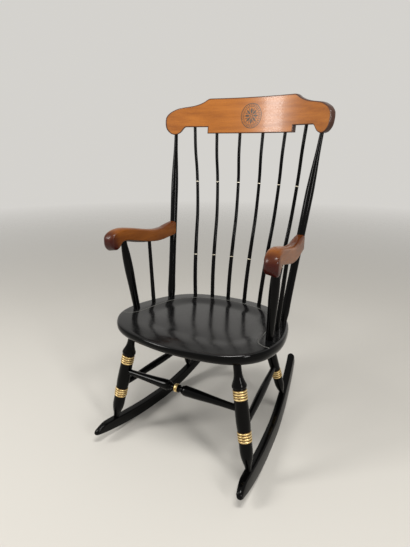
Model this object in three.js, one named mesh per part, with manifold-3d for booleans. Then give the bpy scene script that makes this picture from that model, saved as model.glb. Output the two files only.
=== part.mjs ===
import * as THREE from 'three';
import { mergeVertices } from 'three/addons/utils/BufferGeometryUtils.js';
import Module from 'manifold-3d';

// A Boston rocking chair: a black seat, legs, rockers and spindles, with stained arms and crest rail.
// Millimetres, +Z up, the sitter faces -Y, and the sitter's left hand is at +X.
// The places below are in the chair's own frame, which is then set over the middle of its outline.

// Fits
const fit_gap = 0.3;
const cut_overrun = 12;

// Seat: a thick plank that falls towards the back, rolled over at the front
const seat_half_width = 274;
const seat_front = -309;
const seat_back = 182;
const seat_height = 403.5;
const seat_fall_share = 0.0665;
const seat_thickness = 45;
const seat_roll_start = -130;
const seat_roll_drop = 15;
const seat_edge_round = 6;
const seat_edge_drop = 17;
const seat_under_inset = 27;
const seat_border = 44;
const seat_dish_depth = 9;
const seat_dish_run = 64;
const seat_socket_depth = 26;
const seat_outline_shares = [
  [0, 0], [0.30, 0.014], [0.595, 0.051], [0.80, 0.116], [0.95, 0.230], [1.0, 0.385],
  [0.971, 0.542], [0.876, 0.723], [0.73, 0.857], [0.551, 0.929], [0.285, 0.984], [0, 1],
];

// Rockers: bent boards, toed in towards the back and leaning in with the legs
const rocker_front = -347;
const rocker_rear = 323;
const rocker_low = -76;
const rocker_flat_rear = -8;
const rocker_front_radius = 900;
const rocker_front_arc = 180;
const rocker_rear_radius = 730;
const rocker_thickness = 26;
const rocker_height = 42;
const rocker_tip_height = 28;
const rocker_edge = 4;
const rocker_facet = 34;
const rocker_nose = 46;
const rocker_nose_shares = [0.35, 0.62, 0.82, 0.94, 1];
const rocker_nose_end_share = 0.22;
const rocker_nose_level_share = 0.04;
const rocker_nose_width_share = 0.70;
const rocker_taper = 95;
const rocker_heel = 12;
const rocker_heel_shares = [0, 0.7, 1];
const rocker_heel_end_share = 0.60;
const rocker_heel_level_share = 0.50;
const rocker_corner = 9;
const rocker_corner_share = 0.40;
const rocker_lean_share = 0.15;
const rocker_socket_depth = 22;

// Legs: where each leg's axis meets the rocker's top and the seat's underside
const front_foot_x = 246.8;
const front_foot_y = -259;
const rear_foot_x = 204;
const rear_foot_y = 139;
const front_leg_top_x = 183;
const front_leg_top_y = -221;
const rear_leg_top_x = 153;
const rear_leg_top_y = 57;
const front_leg_radius = 20.6;
const rear_leg_radius = 18;
const ring_outer_share = 1.0;
const ring_height = 1.6;
const front_foot_radius = 9.6;
const rear_foot_radius = 7.4;
const ring_count = 4;
const front_leg_shares = [
  [0.045, 0.50], [0.085, 0.68], [0.13, 0.85], [0.175, 0.92], [0.262, 0.925], 'ring', [0.380, 0.95], [0.464, 1.01],
  [0.575, 0.985], [0.648, 0.95], 'ring', [0.7535, 0.94], [0.761, 0.92], [0.768, 1.03], [0.784, 1.05],
  [0.806, 0.93], [0.83, 0.78], [0.852, 0.68], [0.895, 0.62],
];
const front_ring_shares = [[0.2735, 0.3715], [0.657, 0.7495]];
const rear_leg_shares = [
  [0.04, 0.50], [0.10, 0.76], [0.17, 0.91], [0.25, 0.92], 'ring', [0.405, 0.95], [0.62, 1.0], [0.84, 0.94],
];
const rear_ring_shares = [[0.277, 0.390]];
const front_leg_neck_radius = 12.8;
const rear_leg_neck_radius = 14.5;

// Stretchers
const front_stretcher_height = 235;
const rear_stretcher_height = 250;
const side_stretcher_front_height = 182;
const side_stretcher_rear_height = 194.5;
const stretcher_end_radius = 9;
const front_stretcher_radius = 16.2;
const side_stretcher_radius = 12.6;
const stretcher_end_gap = 5;
const stretcher_tenon = 17;
const front_stretcher_shares = [[0.20, 0.62], [0.36, 0.67], [0.52, 0.76], [0.68, 0.86], [0.92, 0.98], [0.98, 1.0]];
const bead_shift = 8;
const bead_reach = 28.5;
const bead_shares = [
  [1, 0.95], [0.92, 0.64], [0.86, 0.79], [0.72, 0.79], [0.66, 0.61], [0.52, 0.52], [0.38, 0.61], [0.36, 0.73],
  [0.30, 0.73], [0.27, 0.59], [0.17, 0.79], [0.08, 0.83],
];

// Back posts, spindles and crest rail
const post_foot_x = 220;
const post_foot_y = 51.5;
const post_top_x = 264.5;
const post_radius = 12.9;
const post_foot_radius = 11.8;
const post_top_radius = 5.6;
const post_top_depth = 18;
const post_shares = [
  [0.012, 0.98], [0.045, 1.07], [0.14, 0.98], [0.30, 0.95], [0.50, 0.98], [0.68, 1.0], [0.78, 0.87], [0.92, 0.56],
];
const spindle_foot_x = [33, 95.5, 157.5];
const spindle_foot_y = [155, 146, 123];
const spindle_top_x = [43.4, 128, 205];
const spindle_foot_radius = 7.2;
const spindle_top_radius = 5.5;
const spindle_bend = 17.5;
const spindle_bend_shares = [
  [0, 0], [0.125, -0.07], [0.25, 0.14], [0.375, 0.53], [0.5, 1], [0.625, 1.03], [0.75, 0.79], [0.875, 0.2], [1, 0],
];
const crest_face_y = 245.8;
const crest_face_radius = 495;
const crest_half_width = 292.5;
const crest_thickness = 19;
const crest_bottom = 984;
const crest_height = 118;
const crest_lean_share = 0.127;
const crest_edge = 3;
const crest_step_x = 157.6;
const crest_shoulder = 22;
const crest_socket_depth = 24;
const crest_top_shares = [
  [0, 1.0], [0.30, 1.0], [0.53, 0.996], [0.545, 0.978], [0.595, 0.905], [0.66, 0.832], [0.73, 0.786],
  [0.79, 0.762], [0.856, 0.732], [0.885, 0.708], [0.918, 0.666], [0.955, 0.604], [0.976, 0.547], [0.99, 0.49],
  [1.0, 0.42],
];
const crest_lobe_shares = [
  [0.79, 0.184], [0.805, 0.150], [0.82, 0.092], [0.84, 0.028], [0.86, -0.008], [0.885, -0.032], [0.906, -0.036],
  [0.935, -0.015], [0.96, 0.035], [0.98, 0.10], [0.992, 0.175], [1.0, 0.27],
];

// Arms, their supports and their short spindles
const arm_front = -220.5;
const arm_low = 618;
const arm_rise = 80;
const arm_rear_gap = 4;
const arm_front_width = 40;
const arm_middle_width = 46;
const arm_rear_width = 31;
const arm_front_x = 267;
const arm_middle_x = 248;
const arm_rear_x = 241.5;
const arm_edge = 5;
const arm_crown = 9;
const arm_crown_shares = [[1, 1], [0.89, 0.5], [0.65, 0.18], [0.3, 0]];
const arm_front_round = 12;
const arm_socket_depth = 20;
const arm_tilt = 4.5;
const arm_tilt_shares = [[0, 0.22], [0.05, 0.44], [0.12, 0.55], [0.2, 0.89], [0.28, 1], [0.5, 1], [0.7, 0.67], [1, 0]];
const arm_shares = [
  [0.0, 0.57, 0.46], [0.005, 0.64, 0.375], [0.015, 0.71, 0.285], [0.032, 0.79, 0.19], [0.052, 0.845, 0.132],
  [0.070, 0.88, 0.116], [0.085, 0.90, 0.132], [0.103, 0.918, 0.185], [0.122, 0.932, 0.275], [0.142, 0.94, 0.355],
  [0.162, 0.945, 0.392], [0.185, 0.943, 0.405], [0.22, 0.93, 0.396], [0.28, 0.89, 0.345], [0.34, 0.845, 0.288],
  [0.42, 0.775, 0.21], [0.50, 0.705, 0.142], [0.60, 0.63, 0.075], [0.70, 0.59, 0.045], [0.78, 0.595, 0.055],
  [0.85, 0.645, 0.085], [0.92, 0.70, 0.115], [1.0, 0.745, 0.15],
];
const support_foot_x = 240.5;
const support_foot_y = -126.5;
const support_top_x = 260.5;
const support_top_y = -153;
const support_radius = 14.5;
const support_foot_radius = 11.2;
const support_top_radius = 10.2;
const support_shares = [
  [0.04, 0.79], [0.13, 0.82], [0.28, 0.86], [0.43, 0.93], [0.58, 1.0], [0.73, 0.97], [0.87, 0.83], [0.91, 0.74],
];
const arm_spindle_foot_x = 232;
const arm_spindle_foot_y = -42.5;
const arm_spindle_top_x = 248;
const arm_spindle_top_y = -33.5;
const arm_spindle_radius = 7.2;
const arm_spindle_foot_radius = 6;
const arm_spindle_top_radius = 5;
const arm_spindle_shares = [[0.03, 0.99], [0.94, 0.84]];

// Arm screws: each arm's rear end is coped to its post and held from behind, under a wooden plug
const arm_screw_share = 0.43;
const screw_shank_radius = 2.2;
const screw_head_radius = 4.2;
const screw_head_height = 3;
const screw_length = 52;
const plug_radius = 4.7;
const plug_length = 4.5;

// Steps of the round pieces
const leg_sides = 14;
const stretcher_sides = 12;
const spindle_sides = 10;
const spindle_steps = 12;
const socket_sides = 12;
const seat_side_points = 26;

const lacquer = { color: 0x0c0d0f, roughness: 0.22, metalness: 0 };
const stain = { color: 0x9c5a1e, roughness: 0.3, metalness: 0 };
const steel = { color: 0x8b8d90, roughness: 0.35, metalness: 1 };

const wasm = await Module();
wasm.setup();
const chair = new THREE.Group();
chair.name = 'boston_rocker';
const up = new THREE.Vector3(0, 1, 0);
const { lerp, clamp, smoothstep } = THREE.MathUtils;

function add_mesh(name, geometry, finish) {
  const mesh = new THREE.Mesh(geometry, new THREE.MeshStandardMaterial(finish));
  mesh.name = name;
  chair.add(mesh);
  return mesh;
}

// A closed skin over rings of equally many points, with a fan of triangles over each end
function loft(rings) {
  const sides = rings[0].length;
  const middle = (ring) => ring.reduce((sum, p) => sum.add(p), new THREE.Vector3()).divideScalar(sides);
  const points = [...rings.flat(), middle(rings[0]), middle(rings.at(-1))];
  const first = rings.length * sides;
  const index = [];
  for (let k = 0; k < sides; k += 1) {
    const next = (k + 1) % sides;
    index.push(first, next, k);
    for (let row = 0; row < rings.length - 1; row += 1) {
      const a = row * sides;
      const b = a + sides;
      index.push(a + k, a + next, b + next, a + k, b + next, b + k);
    }
    const last = first - sides;
    index.push(first + 1, last + k, last + next);
  }
  if (volume(points, index) < 0) index.reverse();
  const geometry = new THREE.BufferGeometry().setFromPoints(points);
  geometry.setIndex(index);
  return geometry;
}

function volume(points, index) {
  const cross = new THREE.Vector3();
  let sum = 0;
  for (let k = 0; k < index.length; k += 3) {
    cross.crossVectors(points[index[k + 1]], points[index[k + 2]]);
    sum += points[index[k]].dot(cross);
  }
  return sum;
}

function solid_of(geometry) {
  const bare = geometry.clone();
  bare.deleteAttribute('normal');
  bare.deleteAttribute('uv');
  const merged = mergeVertices(bare);
  const index = merged.index.array;
  const kept = [];
  for (let k = 0; k < index.length; k += 3) {
    const [a, b, c] = index.slice(k, k + 3);
    if (a !== b && b !== c && c !== a) kept.push(a, b, c);
  }
  const vertProperties = new Float32Array(merged.attributes.position.array);
  return new wasm.Manifold(new wasm.Mesh({ numProp: 3, vertProperties, triVerts: new Uint32Array(kept) }));
}

// Cuts tools, given in the chair's frame, out of a mesh
function cut(mesh, tools) {
  mesh.updateMatrix();
  const to_mesh = mesh.matrix.clone().invert();
  let solid = solid_of(mesh.geometry);
  for (const tool of tools) solid = solid.subtract(solid_of(tool.clone().applyMatrix4(to_mesh)));
  const result = solid.getMesh();
  const geometry = new THREE.BufferGeometry();
  geometry.setAttribute('position', new THREE.BufferAttribute(result.vertProperties, 3));
  geometry.setIndex(new THREE.BufferAttribute(result.triVerts, 1));
  mesh.geometry = geometry;
}

// A turned piece whose axis runs from start to end, with a profile of distance and radius
function turned(name, start, end, profile, sides, finish) {
  const length = start.distanceTo(end);
  const outline = [[0, 0], ...profile, [length, 0]].map(([along, radius]) => new THREE.Vector2(radius, along));
  const mesh = add_mesh(name, new THREE.LatheGeometry(outline, sides), finish);
  mesh.position.copy(start);
  mesh.quaternion.setFromUnitVectors(up, end.clone().sub(start).normalize());
  return mesh;
}

// The socket of a round end: it clears the end by the fit gap and runs out past the surface it is cut in
function socket(tip, outward, radius, depth) {
  const length = depth + fit_gap + cut_overrun;
  const wide = (radius + fit_gap) / Math.cos(Math.PI / socket_sides);
  const tool = new THREE.CylinderGeometry(wide, wide, length, socket_sides);
  tool.translate(0, length / 2 - fit_gap, 0);
  tool.applyQuaternion(new THREE.Quaternion().setFromUnitVectors(up, outward));
  return tool.translate(tip.x, tip.y, tip.z);
}

function direction(from, to) {
  return to.clone().sub(from).normalize();
}

function along(from, to, distance) {
  return from.clone().addScaledVector(direction(from, to), distance);
}

function at_height(from, to, height) {
  return from.clone().lerp(to, (height - from.z) / (to.z - from.z));
}

function mirrored(point, side) {
  return new THREE.Vector3(side * point.x, point.y, point.z);
}

// Seat surfaces
function seat_border_z(y) {
  const run = Math.max(0, seat_roll_start - y) / (seat_roll_start - seat_front);
  return seat_height - seat_fall_share * y - seat_roll_drop * run * run;
}

function seat_bottom_z(y) {
  return seat_height - seat_thickness - seat_fall_share * y;
}

function on_seat(x, y) {
  return new THREE.Vector3(x, y, seat_border_z(y));
}

function seat_outline() {
  const depth = seat_back - seat_front;
  const knots = seat_outline_shares.map(([x, y]) => new THREE.Vector2(x * seat_half_width, seat_front + y * depth));
  const ghost = new THREE.Vector2(-knots[1].x, knots[1].y);
  const half = new THREE.SplineCurve([ghost, ...knots, new THREE.Vector2(-knots.at(-2).x, knots.at(-2).y)]);
  const from = 1 / (knots.length + 1);
  const points = [];
  for (let k = 0; k <= seat_side_points; k += 1) {
    points.push(half.getPoint(lerp(from, 1 - from, k / seat_side_points)));
  }
  const left = points.slice(1, -1).reverse().map((p) => new THREE.Vector2(-p.x, p.y));
  return [...points, ...left];
}

function seat_ring(outline, inset, height_of) {
  const centre = new THREE.Vector2(0, (seat_front + seat_back) / 2);
  return outline.map((p) => {
    const reach = p.clone().sub(centre);
    const place = centre.clone().addScaledVector(reach, 1 - inset / reach.length());
    return new THREE.Vector3(place.x, place.y, height_of(place.y));
  });
}

function seat_dish(inset, y) {
  const back_share = smoothstep(y, seat_front, seat_back);
  return seat_dish_depth * smoothstep(inset, seat_border, seat_border + seat_dish_run) * lerp(0.4, 1, back_share);
}

function make_seat() {
  const outline = seat_outline();
  const widest = seat_half_width;
  const rings = [
    seat_ring(outline, seat_under_inset, seat_bottom_z),
    seat_ring(outline, seat_under_inset / 2, (y) => lerp(seat_bottom_z(y), seat_border_z(y), 0.1)),
    seat_ring(outline, seat_under_inset / 8, (y) => lerp(seat_bottom_z(y), seat_border_z(y), 0.34)),
    seat_ring(outline, 0, (y) => seat_border_z(y) - seat_edge_drop),
    seat_ring(outline, seat_edge_round / 4, (y) => seat_border_z(y) - seat_edge_round),
    seat_ring(outline, seat_edge_round, seat_border_z),
  ];
  const insets = [seat_border, seat_border + seat_dish_run / 2, seat_border + seat_dish_run, widest / 2, widest * 0.75];
  for (const inset of insets) {
    rings.push(seat_ring(outline, inset, (y) => seat_border_z(y) - seat_dish(inset, y)));
  }
  return add_mesh('seat', loft(rings), lacquer);
}

// Rockers: one arc rises forwards, straight at its end, and a tighter one backwards, from a flat at its foot
function arc_rise(run, radius) {
  return radius - Math.sqrt(radius * radius - run * run);
}

function rocker_bottom_z(y) {
  const run = y - rocker_low;
  const past = Math.max(0, -run - rocker_front_arc);
  const slope = rocker_front_arc / Math.sqrt(rocker_front_radius ** 2 - rocker_front_arc ** 2);
  if (run < 0) return arc_rise(run + past, rocker_front_radius) + past * slope;
  const worn = arc_rise(rocker_flat_rear - rocker_low, rocker_rear_radius);
  return Math.max(0, arc_rise(run, rocker_rear_radius) - worn);
}

function rocker_top_z(y) {
  const end = y < rocker_low ? rocker_front : rocker_rear;
  const share = clamp((y - rocker_low) / (end - rocker_low), 0, 1);
  return rocker_bottom_z(y) + lerp(rocker_height, rocker_tip_height, share ** 4);
}

const front_foot_z = rocker_top_z(front_foot_y);
const rear_foot_z = rocker_top_z(rear_foot_y);

function rocker_x(y, z) {
  const share = (y - front_foot_y) / (rear_foot_y - front_foot_y);
  return lerp(front_foot_x, rear_foot_x, share) + rocker_lean_share * (lerp(front_foot_z, rear_foot_z, share) - z);
}

function rocker_stations() {
  const steps = [];
  const ends = [
    [rocker_low, rocker_front, -rocker_nose, rocker_nose_shares],
    [rocker_flat_rear, rocker_rear, rocker_heel, rocker_heel_shares],
  ];
  for (const [start, end, nose, shares] of ends) {
    const stop = end - nose;
    const count = Math.max(1, Math.round(Math.abs(stop - start) / rocker_facet));
    for (let k = 0; k <= count; k += 1) steps.push(lerp(start, stop, k / count));
    for (const share of shares) if (share > 0) steps.push(stop + nose * share);
  }
  return steps.sort((a, b) => a - b);
}

function rounded(run, length) {
  const share = 1 - clamp(run / length, 0, 1);
  return Math.sqrt(1 - share * share);
}

function rocker_ring(y, side) {
  const at_front = y < rocker_low;
  const run = at_front ? y - rocker_front : rocker_rear - y;
  const nose = rounded(run, at_front ? rocker_nose : rocker_heel);
  const full = lerp(at_front ? rocker_nose_end_share : rocker_heel_end_share, 1, nose);
  const low = rocker_bottom_z(y);
  const high = rocker_top_z(y);
  const level = lerp(low, high, at_front ? rocker_nose_level_share : rocker_heel_level_share);
  const bottom = lerp(level, low, full);
  const top = lerp(level, high, full);
  const narrow = at_front ? (1 - clamp(run / rocker_taper, 0, 1)) ** 2 : 0;
  const corner = lerp(rocker_corner_share, 1, rounded(run, rocker_corner));
  const half = rocker_thickness / 2 * corner * lerp(1, rocker_nose_width_share, narrow);
  const edge = Math.min(rocker_edge, (top - bottom) / 3);
  const section = [
    [-half, bottom], [half, bottom], [half, top - edge], [half - edge, top], [edge - half, top], [-half, top - edge],
  ];
  return section.map(([x, z]) => new THREE.Vector3(side * (rocker_x(y, z) + x), y, z));
}

function make_rocker(name, side) {
  return add_mesh(name, loft(rocker_stations().map((y) => rocker_ring(y, side))), lacquer);
}

// Legs: a profile of shares, with gilded rings turned between the named shares
function leg_profile(length, start, shares, radius, rings, ends) {
  const profile = [[0, ends.foot], [start, ends.foot]];
  let band = 0;
  for (const entry of shares) {
    if (entry === 'ring') {
      profile.push(...ring_band(rings[band], length, start, radius));
      band += 1;
    } else {
      profile.push([start + entry[0] * length, entry[1] * radius]);
    }
  }
  return profile;
}

function ring_band([from, to], length, start, radius) {
  const points = [];
  const pitch = (to - from) * length / ring_count;
  const outer = radius * ring_outer_share;
  const groove = outer - ring_height;
  for (let k = 0; k < ring_count; k += 1) {
    const low = start + from * length + k * pitch;
    points.push([low, groove], [low + pitch * 0.3, outer], [low + pitch * 0.7, outer]);
  }
  points.push([start + to * length, groove]);
  return points;
}

function make_leg(name, side, leg) {
  const foot = mirrored(leg.foot, side);
  const top = mirrored(leg.top, side);
  const start = along(foot, top, -rocker_socket_depth);
  const end = along(top, foot, -seat_socket_depth);
  const exposed = foot.distanceTo(top);
  const length = exposed + rocker_socket_depth + seat_socket_depth;
  const profile = leg_profile(exposed, rocker_socket_depth, leg.shares, leg.radius, leg.rings, leg.ends);
  const neck = leg.ends.neck;
  profile.push([rocker_socket_depth + exposed - cut_overrun, neck], [length, neck]);
  return { mesh: turned(name, start, end, profile, leg_sides, lacquer), foot, top, start, end, ends: leg.ends };
}

const front_leg = {
  foot: new THREE.Vector3(front_foot_x, front_foot_y, front_foot_z),
  top: new THREE.Vector3(front_leg_top_x, front_leg_top_y, seat_bottom_z(front_leg_top_y)),
  shares: front_leg_shares,
  rings: front_ring_shares,
  radius: front_leg_radius,
  ends: { foot: front_foot_radius, neck: front_leg_neck_radius },
};
const rear_leg = {
  foot: new THREE.Vector3(rear_foot_x, rear_foot_y, rear_foot_z),
  top: new THREE.Vector3(rear_leg_top_x, rear_leg_top_y, seat_bottom_z(rear_leg_top_y)),
  shares: rear_leg_shares,
  rings: rear_ring_shares,
  radius: rear_leg_radius,
  ends: { foot: rear_foot_radius, neck: rear_leg_neck_radius },
};

// Stretchers: each ends a little short of the axes of the two legs that hold it
function make_stretcher(name, from, to, middle_profile, radius) {
  const start = along(from, to, stretcher_end_gap);
  const end = along(to, from, stretcher_end_gap);
  const length = start.distanceTo(end);
  const profile = [[0, radius], [stretcher_tenon + cut_overrun, radius], ...middle_profile(length)];
  profile.push([length - stretcher_tenon - cut_overrun, radius], [length, radius]);
  return { mesh: turned(name, start, end, profile, stretcher_sides, lacquer), start, end };
}

function plain_middle(length) {
  return [0.22, 0.38, 0.62, 0.78].map((share) => {
    const swell = Math.sin(Math.PI * share);
    return [share * length, lerp(stretcher_end_radius, side_stretcher_radius, swell * swell)];
  });
}

function beaded_middle(length) {
  const centre = length / 2 + bead_shift;
  const half = (total) => [
    ...front_stretcher_shares.map(([share, radius]) => [share * (total - bead_reach), radius]),
    ...bead_shares.map(([share, radius]) => [total - share * bead_reach, radius]),
  ];
  const right = half(length - centre).map(([place, radius]) => [length - place, radius]).reverse();
  return [...half(centre), ...right].map(([place, radius]) => [place, radius * front_stretcher_radius]);
}

// Crest rail: a board bent round a vertical cylinder and leaning back
function crest_point(angle, depth, z) {
  const reach = crest_face_radius + depth;
  const lean = crest_lean_share * (z - crest_bottom - crest_height / 2);
  const y = crest_face_y - crest_face_radius + reach * Math.cos(angle) + lean;
  return new THREE.Vector3(reach * Math.sin(angle), y, z);
}

function share_curve(shares, share) {
  let k = 1;
  while (k < shares.length - 1 && shares[k][0] < share) k += 1;
  const [a, b] = [shares[k - 1], shares[k]];
  return lerp(a[1], b[1], clamp((share - a[0]) / (b[0] - a[0]), 0, 1));
}

function crest_underside(share, past_step) {
  if (share < crest_lobe_shares[0][0]) return past_step ? crest_bottom + crest_shoulder : crest_bottom;
  return crest_bottom + crest_height * share_curve(crest_lobe_shares, share);
}

function crest_columns() {
  const step = crest_step_x / crest_half_width;
  const lobe = [...crest_lobe_shares, ...crest_top_shares].map(([share]) => share).filter((share) => share > step);
  const right = [[0, false], [step / 4, false], [step / 2, false], [step * 0.75, false], [step, false], [step, true]];
  for (const share of [...new Set(lobe)].sort((a, b) => a - b)) right.push([share, true]);
  const left = right.slice(1).reverse().map(([share, past]) => [-share, past]);
  return [...left, ...right];
}

function crest_ring([share, past_step], order) {
  const reach = Math.abs(share);
  const nudge = past_step && reach < crest_step_x / crest_half_width + 1e-6 ? fit_gap * order : 0;
  const angle = Math.asin((share * crest_half_width + nudge) / crest_face_radius);
  const high = crest_bottom + crest_height * share_curve(crest_top_shares, reach);
  const low = crest_underside(reach, past_step);
  const edge = Math.min(crest_edge, (high - low) / 3);
  const section = [
    [edge, low], [crest_thickness - edge, low], [crest_thickness, low + edge], [crest_thickness, high - edge],
    [crest_thickness - edge, high], [edge, high], [0, high - edge], [0, low + edge],
  ];
  return section.map(([depth, z]) => crest_point(angle, depth, z));
}

function make_crest() {
  return add_mesh('crest_rail', loft(crest_columns().map((column) => crest_ring(column, Math.sign(column[0])))), stain);
}

function under_crest(x) {
  const share = x / crest_half_width;
  const low = crest_underside(share, share > crest_step_x / crest_half_width);
  return crest_point(Math.asin(x / (crest_face_radius + crest_thickness / 2)), crest_thickness / 2, low);
}

// Spindles: round sticks with an S bend, straight where they enter the seat and the crest rail
function make_spindle(name, foot, top) {
  const at = (share) => {
    const bend = share_bend(share) * spindle_bend;
    return foot.clone().lerp(top, share).add(new THREE.Vector3(0, bend, 0));
  };
  const knots = spindle_bend_shares.map(([share]) => at(share));
  const path = new THREE.CatmullRomCurve3(knots);
  const foot_out = path.getTangentAt(0).normalize();
  const top_out = path.getTangentAt(1).normalize();
  const rings = [];
  const place = (centre, tangent, radius) => {
    const side = new THREE.Vector3(1, 0, 0);
    const front = new THREE.Vector3().crossVectors(tangent, side).normalize();
    const across = new THREE.Vector3().crossVectors(front, tangent).normalize();
    rings.push(Array.from({ length: spindle_sides }, (_, k) => {
      const turn = (k / spindle_sides) * 2 * Math.PI;
      const offset = across.clone().multiplyScalar(Math.cos(turn)).addScaledVector(front, Math.sin(turn));
      return centre.clone().addScaledVector(offset, radius);
    }));
  };
  const start = foot.clone().addScaledVector(foot_out, -seat_socket_depth);
  const end = top.clone().addScaledVector(top_out, crest_socket_depth);
  place(start, foot_out, spindle_foot_radius);
  for (let k = 0; k <= spindle_steps; k += 1) {
    const share = k / spindle_steps;
    const radius = lerp(spindle_foot_radius, spindle_top_radius, smoothstep(share, 0.1, 0.75));
    place(path.getPointAt(share), path.getTangentAt(share), radius);
  }
  place(end, top_out, spindle_top_radius);
  return { mesh: add_mesh(name, loft(rings), lacquer), start, end, foot_out, top_out };
}

function share_bend(share) {
  return share_curve(spindle_bend_shares, share);
}

// Arms: sawn to an S in side view, with a rolled front end, and rounded along the edges
function arm_bow(share, front, middle, rear) {
  return lerp(lerp(front, middle, share), lerp(middle, rear, share), share);
}

function arm_ring(entry, rear_y, side) {
  const [share, top_share, bottom_share] = entry;
  const y = lerp(arm_front, rear_y, share);
  const centre = arm_bow(share, arm_front_x, arm_middle_x, arm_rear_x);
  const top = arm_low + top_share * arm_rise;
  const bottom = arm_low + bottom_share * arm_rise;
  const widest = arm_bow(share, arm_front_width, arm_middle_width, arm_rear_width) / 2;
  const half = widest - arm_front_round * (1 - rounded(y - arm_front, arm_front_round));
  const crown = Math.min(arm_crown, (top - bottom) / 3);
  const edge = Math.min(arm_edge, (top - bottom) / 4);
  const tilt = Math.min(arm_tilt * share_curve(arm_tilt_shares, share), (top - bottom) / 4);
  const across = arm_crown_shares.map(([place, drop]) => [place * half, top - drop * crown]);
  const section = [
    [edge - half, bottom + tilt], [half - edge, bottom - tilt], [half, bottom - tilt + edge], ...across,
    ...across.map(([x, z]) => [-x, z]).reverse(), [-half, bottom + tilt + edge],
  ];
  return section.map(([x, z]) => new THREE.Vector3(side * (centre + x), y, z));
}

function under_arm(x, y, rear_y) {
  const share = (y - arm_front) / (rear_y - arm_front);
  const bottom = share_curve(arm_shares.map(([place, , low]) => [place, low]), share);
  return new THREE.Vector3(x, y, arm_low + bottom * arm_rise);
}

function tapered(name, foot, top, ends, shares, widest, depths, sides) {
  const start = along(foot, top, -depths.foot);
  const end = along(top, foot, -depths.top);
  const exposed = foot.distanceTo(top);
  const length = exposed + depths.foot + depths.top;
  const middle = shares.map(([share, radius]) => [depths.foot + share * exposed, radius * widest]);
  const profile = [[0, ends.foot], [depths.foot, ends.foot], ...middle];
  profile.push([depths.foot + exposed - cut_overrun, ends.top], [length, ends.top]);
  return { mesh: turned(name, start, end, profile, sides, lacquer), start, end };
}

function grown(piece, foot_radius, top_radius, foot_depth, top_depth) {
  const inward = direction(piece.start, piece.end);
  return {
    foot: socket(piece.start, inward, foot_radius, foot_depth),
    top: socket(piece.end, inward.clone().negate(), top_radius, top_depth),
  };
}

function make_side(side, seat_cuts, crest_cuts) {
  const hand = side > 0 ? 'left' : 'right';
  const rocker = make_rocker(`rocker_${hand}`, side);
  const front = make_leg(`front_leg_${hand}`, side, front_leg);
  const rear = make_leg(`rear_leg_${hand}`, side, rear_leg);
  const rocker_cuts = [];
  for (const leg of [front, rear]) {
    const axis = direction(leg.start, leg.end);
    rocker_cuts.push(socket(leg.start, axis, leg.ends.foot, rocker_socket_depth));
    seat_cuts.push(socket(leg.end, axis.clone().negate(), leg.ends.neck, seat_socket_depth));
  }
  cut(rocker, rocker_cuts);

  const side_front = at_height(front.foot, front.top, side_stretcher_front_height);
  const side_rear = at_height(rear.foot, rear.top, side_stretcher_rear_height);
  const name = `side_stretcher_${hand}`;
  const stretcher = make_stretcher(name, side_front, side_rear, plain_middle, stretcher_end_radius);
  const holes = grown(stretcher, stretcher_end_radius, stretcher_end_radius, stretcher_tenon, stretcher_tenon);

  const post = make_post(hand, side, seat_cuts, crest_cuts);
  make_arm(hand, side, post, seat_cuts);
  return { front, rear, front_cuts: [holes.foot], rear_cuts: [holes.top] };
}

function make_post(hand, side, seat_cuts, crest_cuts) {
  const foot = mirrored(on_seat(post_foot_x, post_foot_y), side);
  const top = mirrored(under_crest(post_top_x), side);
  const depths = { foot: seat_socket_depth, top: post_top_depth };
  const ends = { foot: post_foot_radius, top: post_top_radius };
  const post = tapered(`back_post_${hand}`, foot, top, ends, post_shares, post_radius, depths, leg_sides);
  const holes = grown(post, post_foot_radius, post_top_radius, depths.foot, depths.top);
  seat_cuts.push(holes.foot);
  crest_cuts.push(holes.top);
  return { ...post, foot, top };
}

function make_arm(hand, side, post, seat_cuts) {
  const behind = at_height(post.foot, post.top, arm_low + arm_screw_share * arm_rise);
  const rear_y = behind.y - arm_rear_gap;
  const rings = arm_shares.map((entry) => arm_ring(entry, rear_y, side));
  const arm = add_mesh(`arm_${hand}`, loft(rings), stain);

  const support_foot = mirrored(on_seat(support_foot_x, support_foot_y), side);
  const support_top = mirrored(under_arm(support_top_x, support_top_y, rear_y), side);
  const depths = { foot: seat_socket_depth, top: arm_socket_depth };
  const support_ends = { foot: support_foot_radius, top: support_top_radius };
  const support = tapered(
    `arm_support_${hand}`, support_foot, support_top, support_ends, support_shares, support_radius, depths, leg_sides,
  );
  const support_holes = grown(support, support_foot_radius, support_top_radius, depths.foot, depths.top);

  const stick_foot = mirrored(on_seat(arm_spindle_foot_x, arm_spindle_foot_y), side);
  const stick_top = mirrored(under_arm(arm_spindle_top_x, arm_spindle_top_y, rear_y), side);
  const stick_ends = { foot: arm_spindle_foot_radius, top: arm_spindle_top_radius };
  const stick = tapered(
    `arm_spindle_${hand}`, stick_foot, stick_top, stick_ends, arm_spindle_shares, arm_spindle_radius, depths,
    spindle_sides,
  );
  const stick_holes = grown(stick, arm_spindle_foot_radius, arm_spindle_top_radius, depths.foot, depths.top);
  seat_cuts.push(support_holes.foot, stick_holes.foot);

  const axis = direction(post.start, post.end);
  const cope = socket(post.start, axis, post_radius, post.start.distanceTo(post.end));
  const screw = make_screw(hand, behind);
  cut(arm, [support_holes.top, stick_holes.top, cope, ...screw.tools]);
  cut(post.mesh, screw.tools);
}

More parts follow.
